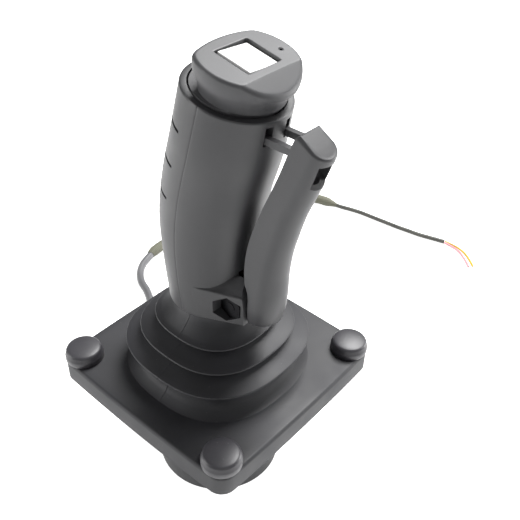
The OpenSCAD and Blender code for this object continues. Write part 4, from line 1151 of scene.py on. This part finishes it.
@dataclass
class Grip:
    """Two moulded half shells, with the nose that carries the lever."""

    base: float = 51.0
    height: float = 100.5
    slope: float = 11.6
    wall: float = 2.6
    gap: float = 0.03
    groove_depth: float = 0.9
    groove_width: float = 1.2
    groove_start: float = 54.0
    groove_pitch: float = 15.8
    groove_end: float = 18.0
    nose_reach: float = 27.0
    nose_r: float = 8.8
    nose_h: float = 16.5
    ear_front: float = 25.2
    ear_slot: float = 11.0
    pivot_y: float = 18.6
    pivot_h: float = 7.6
    hex_flats: float = 11.0
    prong_floor: float = 87.0
    prong_t: float = 2.4
    prong_h: float = 2.8
    prong_play: float = 0.4
    lever_head: float = 6.3
    belly_r: float = 20.6
    core_r: float = 18.2
    neck_r: float = 18.0
    bolt_r: float = 2.6
    pocket_depth: float = 3.0
    screw_heights: tuple[float, float] = (44.0, 78.0)
    screw_side: float = 11.5
    screw_head_r: float = 2.9
    rim_round: float = 0.9
    rows: list[tuple[float, float, float, float]] = field(default_factory=lambda: [
        (0, 21.0, 20.5, -0.8), (19, 21.4, 21.0, -2.6), (39, 21.8, 22.3, -2.4), (59, 21.8, 22.3, 0.9),
        (79, 21.9, 22.0, 6.6), (100.5, 20.4, 21.2, 11.4)])

    def point(self, h: float, angle: float, inset: float) -> Point:
        """A point of the grip's surface.

        Args:
            h: Height above the foot.
            angle: Angle from +X in degrees.
            inset: Distance inside the surface.

        Returns:
            The point.
        """
        a = math.radians(angle)
        half = smooth_row(self.rows, h, 1) - inset
        deep = smooth_row(self.rows, h, 2) - inset
        tilt = math.tan(math.radians(self.slope * h / self.height))
        return (half * math.cos(a), smooth_row(self.rows, h, 3) + deep * math.sin(a),
                self.base + h - deep * math.sin(a) * tilt)

    def groove(self, h: float, angle: float) -> float:
        """Depth of the palm grooves at a place.

        Args:
            h: Height above the foot.
            angle: Angle from +X in degrees.

        Returns:
            The depth in millimetres.
        """
        centre = min((self.groove_start + i * self.groove_pitch for i in range(3)), key=lambda g: abs(h - g))
        across = max(0.0, 1 - (abs(h - centre) / (self.groove_width / 2)) ** 2)
        from_end = min(angle - 180 - self.groove_end, 360 - self.groove_end - angle)
        along = min(1.0, max(0.0, from_end / 3.0))
        return self.groove_depth * math.sqrt(across) * along

    def levels(self, half: Half) -> list[float]:
        """Heights of the sections, closer at the grooves and at both rims.

        Args:
            half: Which half.

        Returns:
            The heights.
        """
        even = [self.height * i / 84 for i in range(85)]
        fine = [0.15, 0.35, 0.6, self.height - 1.6, self.height - 0.9, self.height - 0.5, self.height - 0.2]
        if half is Half.REAR:
            for i in range(3):
                centre = self.groove_start + i * self.groove_pitch
                even = [h for h in even if abs(h - centre) > self.groove_width * 0.75]
                fine += [centre + self.groove_width * s
                         for s in (-0.6, -0.5, -0.42, -0.3, -0.15, 0, 0.15, 0.3,
                                                                    0.42, 0.5, 0.6)]
        return sorted(set(even + fine))

    def edge_inset(self, h: float, radius: float) -> float:
        """Rounding of the rim and foot.

        Args:
            h: Height above the foot.
            radius: Radius of the rounding at the rim.

        Returns:
            Distance inside the surface.
        """
        inset = 0.0
        for away, r in ((self.height - h, radius), (h, 0.5)):
            if away < r:
                inset += r - math.sqrt(max(0.0, r * r - (r - away) ** 2))
        return inset

    def shell(self, name: str, half: Half) -> bpy.types.Object:
        """Make one half as a hollow shell.

        Args:
            name: The piece's name.
            half: Which half.

        Returns:
            The object.
        """
        start, end = half.value
        slack = math.degrees(self.gap / 2 / self.rows[0][1])
        b0, b1 = start + slack, end - slack
        steps = 60
        marks = [0.0, 0.004, 0.01] + [i / steps for i in range(1, steps)] + [0.99, 0.996, 1.0]
        seam = {0.0: 0.12, 0.004: 0.02, 0.996: 0.02, 1.0: 0.12}
        loops = []
        for h in self.levels(half):
            round_off = self.edge_inset(h, self.rim_round)
            outer = []
            for mark in marks:
                angle = b0 + (b1 - b0) * mark
                sunk = round_off + seam.get(mark, 0.0)
                if half is Half.REAR:
                    sunk += self.groove(h, angle)
                outer.append(self.point(h, angle, sunk))
            inner = [self.point(h, b0 + (b1 - b0) * mark, self.wall) for mark in reversed(marks)]
            loops.append(outer + inner)
        n = len(loops[0])
        points = [p for loop in loops for p in loop]
        faces: list[tuple[int, ...]] = []
        for r in range(len(loops) - 1):
            for i in range(n):
                j = (i + 1) % n
                faces.append((r * n + i, r * n + j, (r + 1) * n + j, (r + 1) * n + i))
        for r in (0, len(loops) - 1):
            for i in range(len(marks) - 1):
                faces.append((r * n + i, r * n + i + 1, r * n + n - 2 - i, r * n + n - 1 - i))
        return mesh_object(name, points, faces, 30)

    def nose_outline(self, grow: float, steps: int = 20) -> list[tuple[float, float]]:
        """Egg-shaped plan of the nose: two circles and their common tangents.

        Args:
            grow: Distance outside the plan.
            steps: Pieces in each round end.

        Returns:
            Points, anticlockwise.
        """
        big, small = self.belly_r + grow, self.nose_r + grow
        lean = math.degrees(math.asin((big - small) / self.nose_reach))
        front = arc((0, self.nose_reach), small, lean, 180 - lean, steps)
        back = arc((0, 0), big, 180 - lean, 360 + lean, steps * 2)
        flank_l = [(front[-1][0] + (back[0][0] - front[-1][0]) * t,
                    front[-1][1] + (back[0][1] - front[-1][1]) * t)
                   for t in (0.25, 0.5, 0.75)]
        flank_r = [(back[-1][0] + (front[0][0] - back[-1][0]) * t,
                    back[-1][1] + (front[0][1] - back[-1][1]) * t)
                   for t in (0.25, 0.5, 0.75)]
        return front + flank_l + back + flank_r

    def nose(self) -> bpy.types.Object:
        """Make the nose with a soft upper edge and a ledge that runs up into the grip.

        Returns:
            The object.
        """
        top = self.base + self.nose_h
        loops = []
        for grow, drop in ((-0.5, self.nose_h), (0.0, self.nose_h - 0.5)):
            loops.append([(x, y, top - drop) for x, y in self.nose_outline(grow)])
        for x, z in arc((-1.0, top - 1.0), 1.0, 0, 75, 6):
            loops.append([(px, py + (z - top + 1) * -0.06, z - (py - 6) * 0.06) for px,
                          py in self.nose_outline(x)])
        for grow, rise, back in ((-1.8, 1.1, 1.2), (-2.6, 2.8, 3.6), (-3.2, 4.2, 6.2)):
            loops.append([(x, y - back, top + rise) for x, y in self.nose_outline(grow)])
        return mesh_object("nose", *stack(loops))

    def front(self) -> bpy.types.Object:
        """Make the front half with nose, ears, pocket and guide slots.

        Returns:
            The object.
        """
        obj = self.shell("grip_front", Half.FRONT)
        nose = self.nose()
        middle = smooth_row(self.rows, 6, 3) + 0.3
        core = lathe("core", [(self.core_r, self.base - 1), (self.core_r, self.base + self.nose_h + 7)], 96,
                     Matrix.Translation((0, middle, 0)), closed=False)
        combine(nose, core)
        combine(nose, box_cutter("behind", (-60, -60, 40), (60, -0.8, 120)))
        combine(obj, nose, Joining.ADD)
        z = self.base + self.pivot_h
        f = self.ear_front
        ears = prism_x("ears", [(f, z - 20), (60, z - 20), (60, z + 30), (f - 3.4, z + 30), (f - 3.4,
                                                                                             z + 13.4),
                                (f - 0.5, z + 6.4), (f, z + 1.4)], -30, 30)
        combine(obj, ears)
        neck = lathe("neck", [(self.neck_r, self.base - 1), (self.neck_r, self.base + 2.2)], 96, closed=False)
        combine(obj, neck)
        combine(obj, box_cutter("slot", (-self.ear_slot / 2, self.pivot_y - 8.2, self.base - 1),
                                (self.ear_slot / 2, self.pivot_y + 21.8, self.base + 22.6)))
        combine(obj, rod_x("bolt_hole", self.bolt_r, -30, 30, self.pivot_y, z))
        depth = self.ear_slot / 2 + self.pocket_depth
        r = self.hex_flats / math.sqrt(3)
        corners = [(self.pivot_y + r * math.sin(math.radians(60 * k)), z + r * math.cos(math.radians(60 * k)))
                   for k in range(6)]
        combine(obj, prism_x("nut_pocket", corners, depth, 40))
        combine(obj, rod_x("head_pocket", (self.hex_flats - 0.6) / 2, -40, -depth, self.pivot_y, z))
        for side in (-1, 1):
            x = side * (self.lever_head - self.prong_t / 2)
            reach = self.prong_t / 2 + self.prong_play
            foot = self.base + self.prong_floor
            combine(obj, box_cutter("prong_slot", (x - reach, 10, foot - 1),
                                    (x + reach, 50, foot + self.prong_h + 4)))
        tidy_normals(obj, 28)
        return obj

    def rear(self) -> bpy.types.Object:
        """Make the palm half with the counterbores of its four screws.

        Returns:
            The object.
        """
        obj = self.shell("grip_rear", Half.REAR)
        for h in self.screw_heights:
            for side in (-1, 1):
                y = smooth_row(self.rows, h, 3)
                place = Matrix.Translation((side * self.screw_side, y, self.base + h)) @ Matrix.Rotation(
                    math.radians(90), 4, "X")
                combine(obj, lathe("counterbore", [(self.screw_head_r, 9.0), (self.screw_head_r, 40.0)],
                                   40, place,
                                   closed=False))
        tidy_normals(obj, 28)
        return obj

    def build(self) -> None:
        """Make and dress both halves."""
        dress(self.front(), "grip_plastic", Body.STICK, "grip_front_shell")
        dress(self.rear(), "grip_plastic", Body.STICK, "grip_rear_shell")


@dataclass
class TopCap:
    """Slanted cap with the switch window and the sloped front facet."""

    slope: float = 11.6
    radius: float = 19.7
    height: float = 14.0
    crease: float = 11.8
    facet: float = 27.0
    window_x: float = 17.2
    window_y: float = 16.6
    rear_flat: float = 14.5
    edge: float = 1.4
    seat_r: float = 17.7
    screw_place: tuple[float, float] = (-13.7, 3.5)
    rim_y: float = 11.4
    rim_z: float = 151.5
    window_shift: float = 1.8
    plan_shift: float = 0.4
    back_r: float = 46.0
    side_rows: tuple[tuple[float, float], ...] = (
        (0.08, -3.0), (0.3, -4.6), (0.65, -6.0), (1.15, -7.3), (1.8, -8.6), (2.45, -9.9), (2.9, -11.2),
        (3.1, -12.2), (3.1, -12.9))
    sides: int = 240

    def place(self) -> Matrix:
        """Frame of the cap: the middle of its window, on the top face.

        Returns:
            The matrix, in millimetres.
        """
        a = math.radians(self.slope)
        y = self.rim_y + self.window_shift * math.cos(a) + self.height * math.sin(a)
        z = self.rim_z - self.window_shift * math.sin(a) + self.height * math.cos(a)
        return Matrix.Translation((0, y, z)) @ Matrix.Rotation(-a, 4, "X")

    def plan(self, angle: float, inset: float) -> tuple[float, float]:
        """Point of the cap's plan: a circle with a flatter back.

        Args:
            angle: Angle round the window's middle, in radians.
            inset: Distance inside the edge.

        Returns:
            The point.
        """
        dx, dy = math.cos(angle), math.sin(angle)
        r = self.radius - inset
        along = self.plan_shift * dy
        circle = along + math.sqrt(along * along + r * r - self.plan_shift**2)
        big = self.back_r - inset
        centre = self.back_r - self.rear_flat
        along = centre * dy
        flat = along + math.sqrt(max(0.0, along * along + big * big - centre * centre))
        soft = 0.5
        reach = -soft * math.log(math.exp(-circle / soft) + math.exp(-flat / soft))
        return reach * dx, reach * dy

    def top(self, x: float, y: float) -> float:
        """Height of the top: level up to the crease, then sloping down.

        Args:
            x: Place across.
            y: Place along.

        Returns:
            The height in the cap's frame.
        """
        fall = math.tan(math.radians(self.facet)) * (y - self.crease)
        soft = 0.02
        return -soft * math.log1p(math.exp(fall / soft)) if fall < 8 else -fall

    def window(self, angle: float, grow: float = 0.0) -> tuple[float, float]:
        """Point on the window's edge, a square with small round corners.

        Args:
            angle: Angle round its middle, in radians.
            grow: Distance outside it.

        Returns:
            The point.
        """
        hx, hy = self.window_x / 2 + grow, self.window_y / 2 + grow
        power = 26
        reach = (abs(math.cos(angle) / hx) ** power + abs(math.sin(angle) / hy) ** power) ** (-1 / power)
        return reach * math.cos(angle), reach * math.sin(angle)

    def ring_angles(self) -> list[float]:
        """Angles round the cap, closer at the window's corners.

        Returns:
            Angles in radians.
        """
        even = [2 * math.pi * k / self.sides for k in range(self.sides)]
        corner = math.atan2(self.window_y, self.window_x)
        fine = [side * corner + turn + shift for side,
                turn in ((1, 0), (-1, math.pi), (1, math.pi), (-1, 2 * math.pi))
                for shift in (-0.012, -0.006, 0, 0.006, 0.012)]
        kept = [a for a in even if min(abs(a - f) for f in fine) > 0.016]
        return sorted(kept + fine)

    def build(self) -> None:
        """Make and dress the cap."""
        angles = self.ring_angles()
        loops: list[list[Point]] = []
        loops.append([(*self.window(a), -4.0) for a in angles])
        loops.append([(*self.window(a), -0.35) for a in angles])
        loops.append([(*self.window(a, 0.12), -0.08) for a in angles])
        start = [self.window(a, 0.4) for a in angles]
        end = [self.plan(a, self.edge) for a in angles]
        steps = 14
        for i in range(steps + 1):
            ring = []
            for (sx, sy), (ex, ey) in zip(start, end):
                share = i / steps
                cross = (self.crease - sy) / (ey - sy) if ey > self.crease else 2.0
                if abs(cross - share) <= 0.5 / steps and 0 < i < steps:
                    share = cross
                ring.append((sx + (ex - sx) * share, sy + (ey - sy) * share))
            loops.append([(x, y, self.top(x, y)) for x, y in ring])
        for out, z in arc((-self.edge, -self.edge), self.edge, 80, 0, 12):
            ring = [self.plan(a, -out) for a in angles]
            loops.append([(x, y, self.side_top(x, y, z)) for x, y in ring])
        for inset, z in self.side_rows:
            loops.append([(*self.plan(a, inset), min(z, self.side_top(*self.plan(a, inset), -2.2)))
                          for a in angles])
        for radius, z in ((self.seat_r, -13.3), (self.seat_r, -15.2), (self.seat_r - 3.5, -15.2)):
            loops.append([(*self.seat(a, radius), z) for a in angles])
        loops.append([(*self.plan(a, 4.9), self.side_top(*self.plan(a, 4.9), -4.0)) for a in angles])
        points, faces = stack(loops, close=True)
        place = self.place()
        obj = mesh_object("top_cap", [place @ Vector(p) for p in points], faces, 12)
        screw = place @ Matrix.Translation((*self.screw_place, 0))
        combine(obj, lathe("screw_hole", [(0.75, -2.6), (0.75, -0.5), (1.1, 0.0), (1.1, 1.0)], 32, screw,
                           closed=False))
        tidy_normals(obj, 12)
        dress(obj, "cap_plastic", Body.STICK, "grip_cap")

    def seat(self, angle: float, radius: float) -> tuple[float, float]:
        """Point on the round seat that fills the rim of the grip.

        Args:
            angle: Angle round the window's middle, in radians.
            radius: The seat's radius.

        Returns:
            The point.
        """
        along = -self.window_shift * math.sin(angle)
        reach = along + math.sqrt(along * along + radius * radius - self.window_shift**2)
        return reach * math.cos(angle), reach * math.sin(angle)

    def side_top(self, x: float, y: float, z: float) -> float:
        """Height of a point at the cap's edge, lowered with the front facet.

        Args:
            x: Place across.
            y: Place along.
            z: Height behind the crease.

        Returns:
            The height.
        """
        return z + self.top(x, y)


@dataclass
class Rocker:
    """White thumb rocker in its black body."""

    axis_depth: float = 6.2
    throw: float = 14.0
    window_x: float = 17.2
    window_y: float = 16.6
    reach_low: float = -7.4
    reach_high: float = 7.95
    width: tuple[float, float] = (-7.6, 7.9)
    well_top: float = -4.6
    well_foot: float = -13.5
    well_wall: float = 0.45

    def build(self, place: Matrix) -> None:
        """Make and dress the paddle.

        Args:
            place: The cap's frame.
        """
        low, high = self.reach_low, self.reach_high
        outline = [(-4.0, -3), (4.0, -3), (high - 1.2, 1.5), (high, 3.6), (high, 5.25), (low, 5.85), (low,
                                                                                                      3.8),
                   (low + 1.0, 1.5)]
        tip = (place @ Matrix.Translation((0, 0, -self.axis_depth))
               @ Matrix.Rotation(math.radians(-self.throw / 2), 4, "Y"))
        loops = [[tuple(tip @ Vector((x, y, z))) for x, z in outline] for y in self.width]
        obj = mesh_object("rocker_cap", *stack(loops))
        bevel = obj.modifiers.new("soft_edges", "BEVEL")
        bevel.width = 0.35 * MM
        bevel.segments = 3
        bevel.limit_method = "ANGLE"
        bevel.angle_limit = math.radians(25)
        mesh = settled_mesh(obj)
        obj.modifiers.clear()
        obj.data = mesh
        tidy_normals(obj, 40)
        dress(obj, "rocker_white", Body.ROCKER, "rocker_paddle")
        self.well(place)

    def well(self, place: Matrix) -> None:
        """Make and dress the dark body round the paddle.

        Args:
            place: The cap's frame.
        """
        hx, hy = self.window_x / 2 - 0.1, self.window_y / 2 - 0.1
        floor = self.well_foot + 1.0
        loops = []
        for inset, z in ((0.0, self.well_top), (0.0, self.well_foot), (1.0, self.well_foot), (1.0, floor),
                         (self.well_wall, floor), (self.well_wall, self.well_top)):
            x, y = hx - inset, hy - inset
            loops.append([(-x, -y, z), (x, -y, z), (x, y, z), (-x, y, z)])
        points, faces = stack(loops, close=True)
        obj = mesh_object("rocker_well", [place @ Vector(p) for p in points], faces)
        dress(obj, "rocker_body", Body.STICK, "rocker_frame")


# ---------------------------------------------------------------- lever


@dataclass
class Lever:
    """Hold-to-run lever: a hollow D-section with a sloped head and two guide prongs."""

    pivot_y: float = 18.6
    pivot_z: float = 58.6
    wall: float = 2.2
    head: float = 6.3
    top_slope: float = 28.0
    top_h: float = 88.0
    tongue_r: float = 6.5
    tongue_w: float = 10.2
    prong_t: float = 2.4
    prong_h: float = 2.8
    prong_z: float = 138.0
    prong_tip: float = 24.0
    edge: float = 1.3
    rows: list[tuple[float, float, float, float, float]] = field(default_factory=lambda: [
        (-6.6, 8.6, 25.9, 27.5, 35.4), (0, 9.2, 25.9, 29.0, 36.6), (6, 9.0, 25.9, 29.4, 37.4),
        (10.5, 8.6, 25.1, 29.5, 37.8), (13, 8.4, 23.7, 29.6, 37.9), (21, 8.0, 23.0, 30.6, 38.2),
        (31, 7.6, 23.9, 32.2, 39.6), (41, 7.2, 26.4, 34.8, 42.0), (52, 6.9, 30.2, 37.6, 45.2),
        (62, 6.7, 34.2, 41.8, 49.0), (72, 6.5, 38.0, 46.0, 52.8), (82, 6.3, 41.4, 49.6, 55.8),
        (92, 6.3, 45.4, 53.2, 58.8)])

    def column(self, h: float, mark: float, inset: float) -> tuple[float, float]:
        """Point of the lever's section at a height.

        Args:
            h: Height above the pivot.
            mark: 0 to 1 round the section, from one inner edge to the other.
            inset: Distance inside the surface.

        Returns:
            The point in plan.
        """
        w = smooth_row(self.rows, h, 1) - inset
        inner = smooth_row(self.rows, h, 2) + inset
        side = smooth_row(self.rows, h, 3)
        front = smooth_row(self.rows, h, 4) - inset
        if mark < 0.2:
            return w, inner + (side - inner) * mark / 0.2
        if mark > 0.8:
            return -w, inner + (side - inner) * (1 - mark) / 0.2
        a = math.pi * (mark - 0.2) / 0.6
        return w * math.cos(a), side + (front - side) * math.sin(a)

    def marks(self) -> list[float]:
        """Marks round the section, closer where the flat sides meet the round front.

        Returns:
            The marks.
        """
        return [i / 100 for i in range(0, 20, 4)] + [0.2 + 0.6 * i / 48 for i in range(49)] + [
            0.84, 0.88, 0.92, 0.96, 1.0]

    def top_plane(self, y: float) -> float:
        """Height of the sloped top above the pivot.

        Args:
            y: Place along.

        Returns:
            The height.
        """
        start = smooth_row(self.rows, self.top_h, 2)
        return self.top_h - math.tan(math.radians(self.top_slope)) * (y - start)

    def solid(self) -> bpy.types.Object:
        """Make the outer form, with a soft edge round the sloped top.

        Returns:
            The object.
        """
        marks = self.marks()
        columns: list[list[Point]] = []
        for mark in marks:
            h = 80.0
            for _ in range(30):
                h = self.top_plane(self.column(h, mark, 0)[1])
            column: list[Point] = []
            foot = self.rows[0][0]
            for share in (0.0, 0.004, 0.01):
                level = foot + (h - foot) * share
                column.append((*self.column(level, mark, 0.6 * (1 - share / 0.01) ** 2),
                               self.pivot_z + level))
            count = 60
            for i in range(1, count + 1):
                level = foot + 0.9 + (h - self.edge - foot - 0.9) * i / count
                column.append((*self.column(level, mark, 0.0), self.pivot_z + level))
            for out, up in arc((-self.edge, -self.edge), self.edge, 0, 80, 6)[1:]:
                column.append((*self.column(h + up, mark, -out), self.pivot_z + h + up))
            columns.append(column)
        loops = [[column[i] for column in columns] for i in range(len(columns[0]))]
        centre = [sum(p[k] for p in loops[-1]) / len(loops[-1]) for k in range(3)]
        last = loops[-1]
        for share in (0.25, 0.6):
            loops.append([tuple(p[k] + (centre[k] - p[k]) * share + (0.05 if k == 2 else 0) for k in range(3))
                          for p in last])
        return mesh_object("lever_body", *stack(loops))

    def cavity(self) -> bpy.types.Object:
        """Make the hollow that opens towards the grip.

        Returns:
            The object.
        """
        loops = []
        for i in range(41):
            h = 6.0 + (80.0 - 6.0) * i / 40
            w = smooth_row(self.rows, h, 1) - self.wall
            inner = smooth_row(self.rows, h, 2) - 3
            side = smooth_row(self.rows, h, 3) - 0.6
            front = smooth_row(self.rows, h, 4) - self.wall
            ring = [(w, inner)] + [(w * math.cos(math.pi * k / 24),
                                    side + (front - side) * math.sin(math.pi * k / 24))
                                   for k in range(25)] + [(-w, inner)]
            loops.append([(x, y, self.pivot_z + h) for x, y in ring])
        return mesh_object("cavity", *stack(loops))

    def build(self) -> None:
        """Make and dress the lever."""
        obj = self.solid()
        combine(obj, self.cavity())
        combine(obj, rod_x("boss", self.tongue_r, -self.tongue_w / 2, self.tongue_w / 2, self.pivot_y,
                           self.pivot_z),
                Joining.ADD)
        y, z, w, r = self.pivot_y, self.pivot_z, self.tongue_w / 2, self.tongue_r
        combine(obj, prism_x("tongue", [(y, z - r), (y + 8, z - r), (y + 8.6, z + 5), (y + 8.6, z + 14),
                                        (y + 2.6, z + 14), (y + 2.6, z + r - 0.4), (y, z + r - 0.4)], -w,
                                        w), Joining.ADD)
        for side in (-1, 1):
            x = side * (self.head - self.prong_t / 2)
            a, b = x - self.prong_t / 2 + 0.01, x + self.prong_t / 2 - 0.01
            t, pz = self.prong_tip, self.prong_z
            outline = [(44, pz), (44, pz + self.prong_h), (t + 1.8, pz + self.prong_h),
                       (t + 1.8, pz + self.prong_h + 1.8), (t, pz + self.prong_h + 1.4), (t, pz)]
            combine(obj, prism_x("prong", outline[::-1], a, b), Joining.ADD)
        combine(obj, rod_x("bore", 2.55, -30, 30, y, z))
        opening = [(50, 78.5), (64, 78.5), (64, 70), (52.9, 66), (46, 72), (46, 78.5)]
        combine(obj, prism_x("notch", [(a, z + b) for a, b in reversed(opening)], -4.5, 4.5))
        tidy_normals(obj, 30)
        dress(obj, "lever_plastic", Body.LEVER, "trigger_lever")


# ---------------------------------------------------------------- hidden parts and stage


def dress_cad_nodes() -> None:
    """Give every CAD node the finish of its slot."""
    slots = {entry["node"]: entry["material_slot"] for entry in frame["record"]["subparts"]}
    for name, obj in frame["nodes"].items():
        obj.data.materials.clear()
        dark = name in ("pivot_nut", "pivot_bolt", "cap_screw")
        obj.data.materials.append(finish("black_oxide_steel" if dark else slots[name]))


@dataclass
class Studio:
    """Camera, lamps and floor.

    Attributes:
        azimuth: Degrees from the front round to the camera.
        elevation: Degrees above the level.
        distance: Distance from the target.
        target_z: Height of the target on the stick's axis.
        roll_deg: Degrees that the camera is rolled.
        lens: Focal length for a sensor 36 mm wide.
        aim: How far the target lies right of and above the middle of the view, as tangents.
        floor_z: Height of the floor.
    """

    azimuth: float = 134.325
    elevation: float = 45.27
    distance: float = 356.47
    target_z: float = 10.7
    roll_deg: float = 0.994
    lens: float = 50.4997
    aim: tuple[float, float] = (-0.05706, -0.125732)
    floor_z: float = -55.9

    def camera(self) -> None:
        """Set the camera where the view needs it."""
        az, el = math.radians(self.azimuth), math.radians(self.elevation)
        back = Vector((math.sin(az) * math.cos(el), -math.cos(az) * math.cos(el), math.sin(el)))
        right = Vector((math.cos(az), math.sin(az), 0))
        up = back.cross(right)
        dx, dy = self.aim
        c, s = math.cos(math.radians(self.roll_deg)), math.sin(math.radians(self.roll_deg))
        ray = Vector((c * dx + s * dy, -s * dx + c * dy, -1)).normalized()
        look = Vector((0, 0, -1)).rotation_difference(ray).to_matrix()
        basis = Matrix((right, up, back)).transposed()
        roll = Matrix(((c, -s, 0), (s, c, 0), (0, 0, 1)))
        data = bpy.data.cameras.new("view")
        data.sensor_width = 36.0
        data.lens = self.lens
        data.clip_start, data.clip_end = 0.01, 20
        camera = put("view", data)
        place = (basis @ look.transposed() @ roll.transposed()).to_4x4()
        place.translation = (Vector((0, 0, self.target_z)) + back * self.distance) * MM
        camera.matrix_world = place
        bpy.context.scene.camera = camera

    def lamp(self, name: str, where: Point, size: tuple[float, float], power: float) -> None:
        """Add a soft lamp that points at the grip.

        Args:
            name: Its name.
            where: Place in metres.
            size: Width and height in metres.
            power: Power in watts.
        """
        data = bpy.data.lights.new(name, "AREA")
        data.shape = "RECTANGLE"
        data.size, data.size_y = size
        data.energy = power
        obj = put(name, data)
        obj.location = where
        obj.rotation_euler = (Vector((0, 0, 0.05)) - Vector(where)).to_track_quat("-Z", "Y").to_euler()

    def floor(self) -> None:
        """Lay a pale floor that the camera sees as white, with the object's shadow."""
        mesh = bpy.data.meshes.new("floor")
        z = (self.floor_z - 0.05) * MM
        mesh.from_pydata([(-3, -3, z), (3, -3, z), (3, 3, z), (-3, 3, z)], [], [(0, 1, 2, 3)])
        obj = put("floor", mesh)
        material = bpy.data.materials.new("pale_floor")
        material.use_nodes = True
        tree = material.node_tree
        tree.nodes.clear()
        matt = add_node(tree, "ShaderNodeBsdfDiffuse", {"Color": (0.82, 0.82, 0.82, 1)})
        white = add_node(tree, "ShaderNodeEmission", {"Color": (1, 1, 1, 1), "Strength": 0.85})
        both = add_node(tree, "ShaderNodeAddShader", links={0: matt.outputs[0], 1: white.outputs[0]})
        rays = add_node(tree, "ShaderNodeLightPath")
        seen = add_node(tree, "ShaderNodeMath", links={0: rays.outputs["Is Camera Ray"],
                                                       1: rays.outputs["Is Glossy Ray"]}, operation="MAXIMUM")
        mix = add_node(tree, "ShaderNodeMixShader", links={0: seen.outputs["Value"], 1: matt.outputs[0],
                                                            2: both.outputs[0]})
        add_node(tree, "ShaderNodeOutputMaterial", links={"Surface": mix.outputs[0]})
        mesh.materials.append(material)

    def world(self) -> None:
        """Light the surroundings evenly and show them white to the camera."""
        world = bpy.data.worlds.new("surroundings")
        bpy.context.scene.world = world
        world.use_nodes = True
        tree = world.node_tree
        tree.nodes.clear()
        fill = add_node(tree, "ShaderNodeBackground", {"Color": (1, 1, 1, 1), "Strength": 0.22})
        white = add_node(tree, "ShaderNodeBackground", {"Color": (1, 1, 1, 1), "Strength": 1.0})
        rays = add_node(tree, "ShaderNodeLightPath")
        mix = add_node(tree, "ShaderNodeMixShader",
                       links={0: rays.outputs["Is Camera Ray"], 1: fill.outputs[0],
                                                            2: white.outputs[0]})
        add_node(tree, "ShaderNodeOutputWorld", links={"Surface": mix.outputs[0]})

    def build(self) -> None:
        """Set up everything that isn't part of the object."""
        self.floor()
        self.world()
        self.lamp("overhead", (-0.58, -0.06, 1.0), (0.6, 0.6), 25)
        self.lamp("left_window", (0.95, -0.85, 0.35), (0.4, 0.9), 8.5)
        self.lamp("right_strip", (-0.95, 0.6, 0.12), (0.2, 0.8), 12)
        self.lamp("front_fill", (0.7, 0.75, 0.6), (0.6, 0.6), 1.2)
        scene = bpy.context.scene
        scene.view_settings.view_transform = "Standard"


def main() -> None:
    """Build every piece in order."""
    logging.basicConfig(level=logging.INFO, format="%(name)s %(message)s")
    studio = Studio()
    studio.camera()
    CableRun().build()
    dress_cad_nodes()
    Boot().build()
    ScrewCaps().build()
    Grip().build()
    cap = TopCap()
    cap.build()
    Rocker().build(cap.place())
    Lever().build()
    studio.build()
    LOG.info("sizes written")


if __name__ == "__main__":
    main()
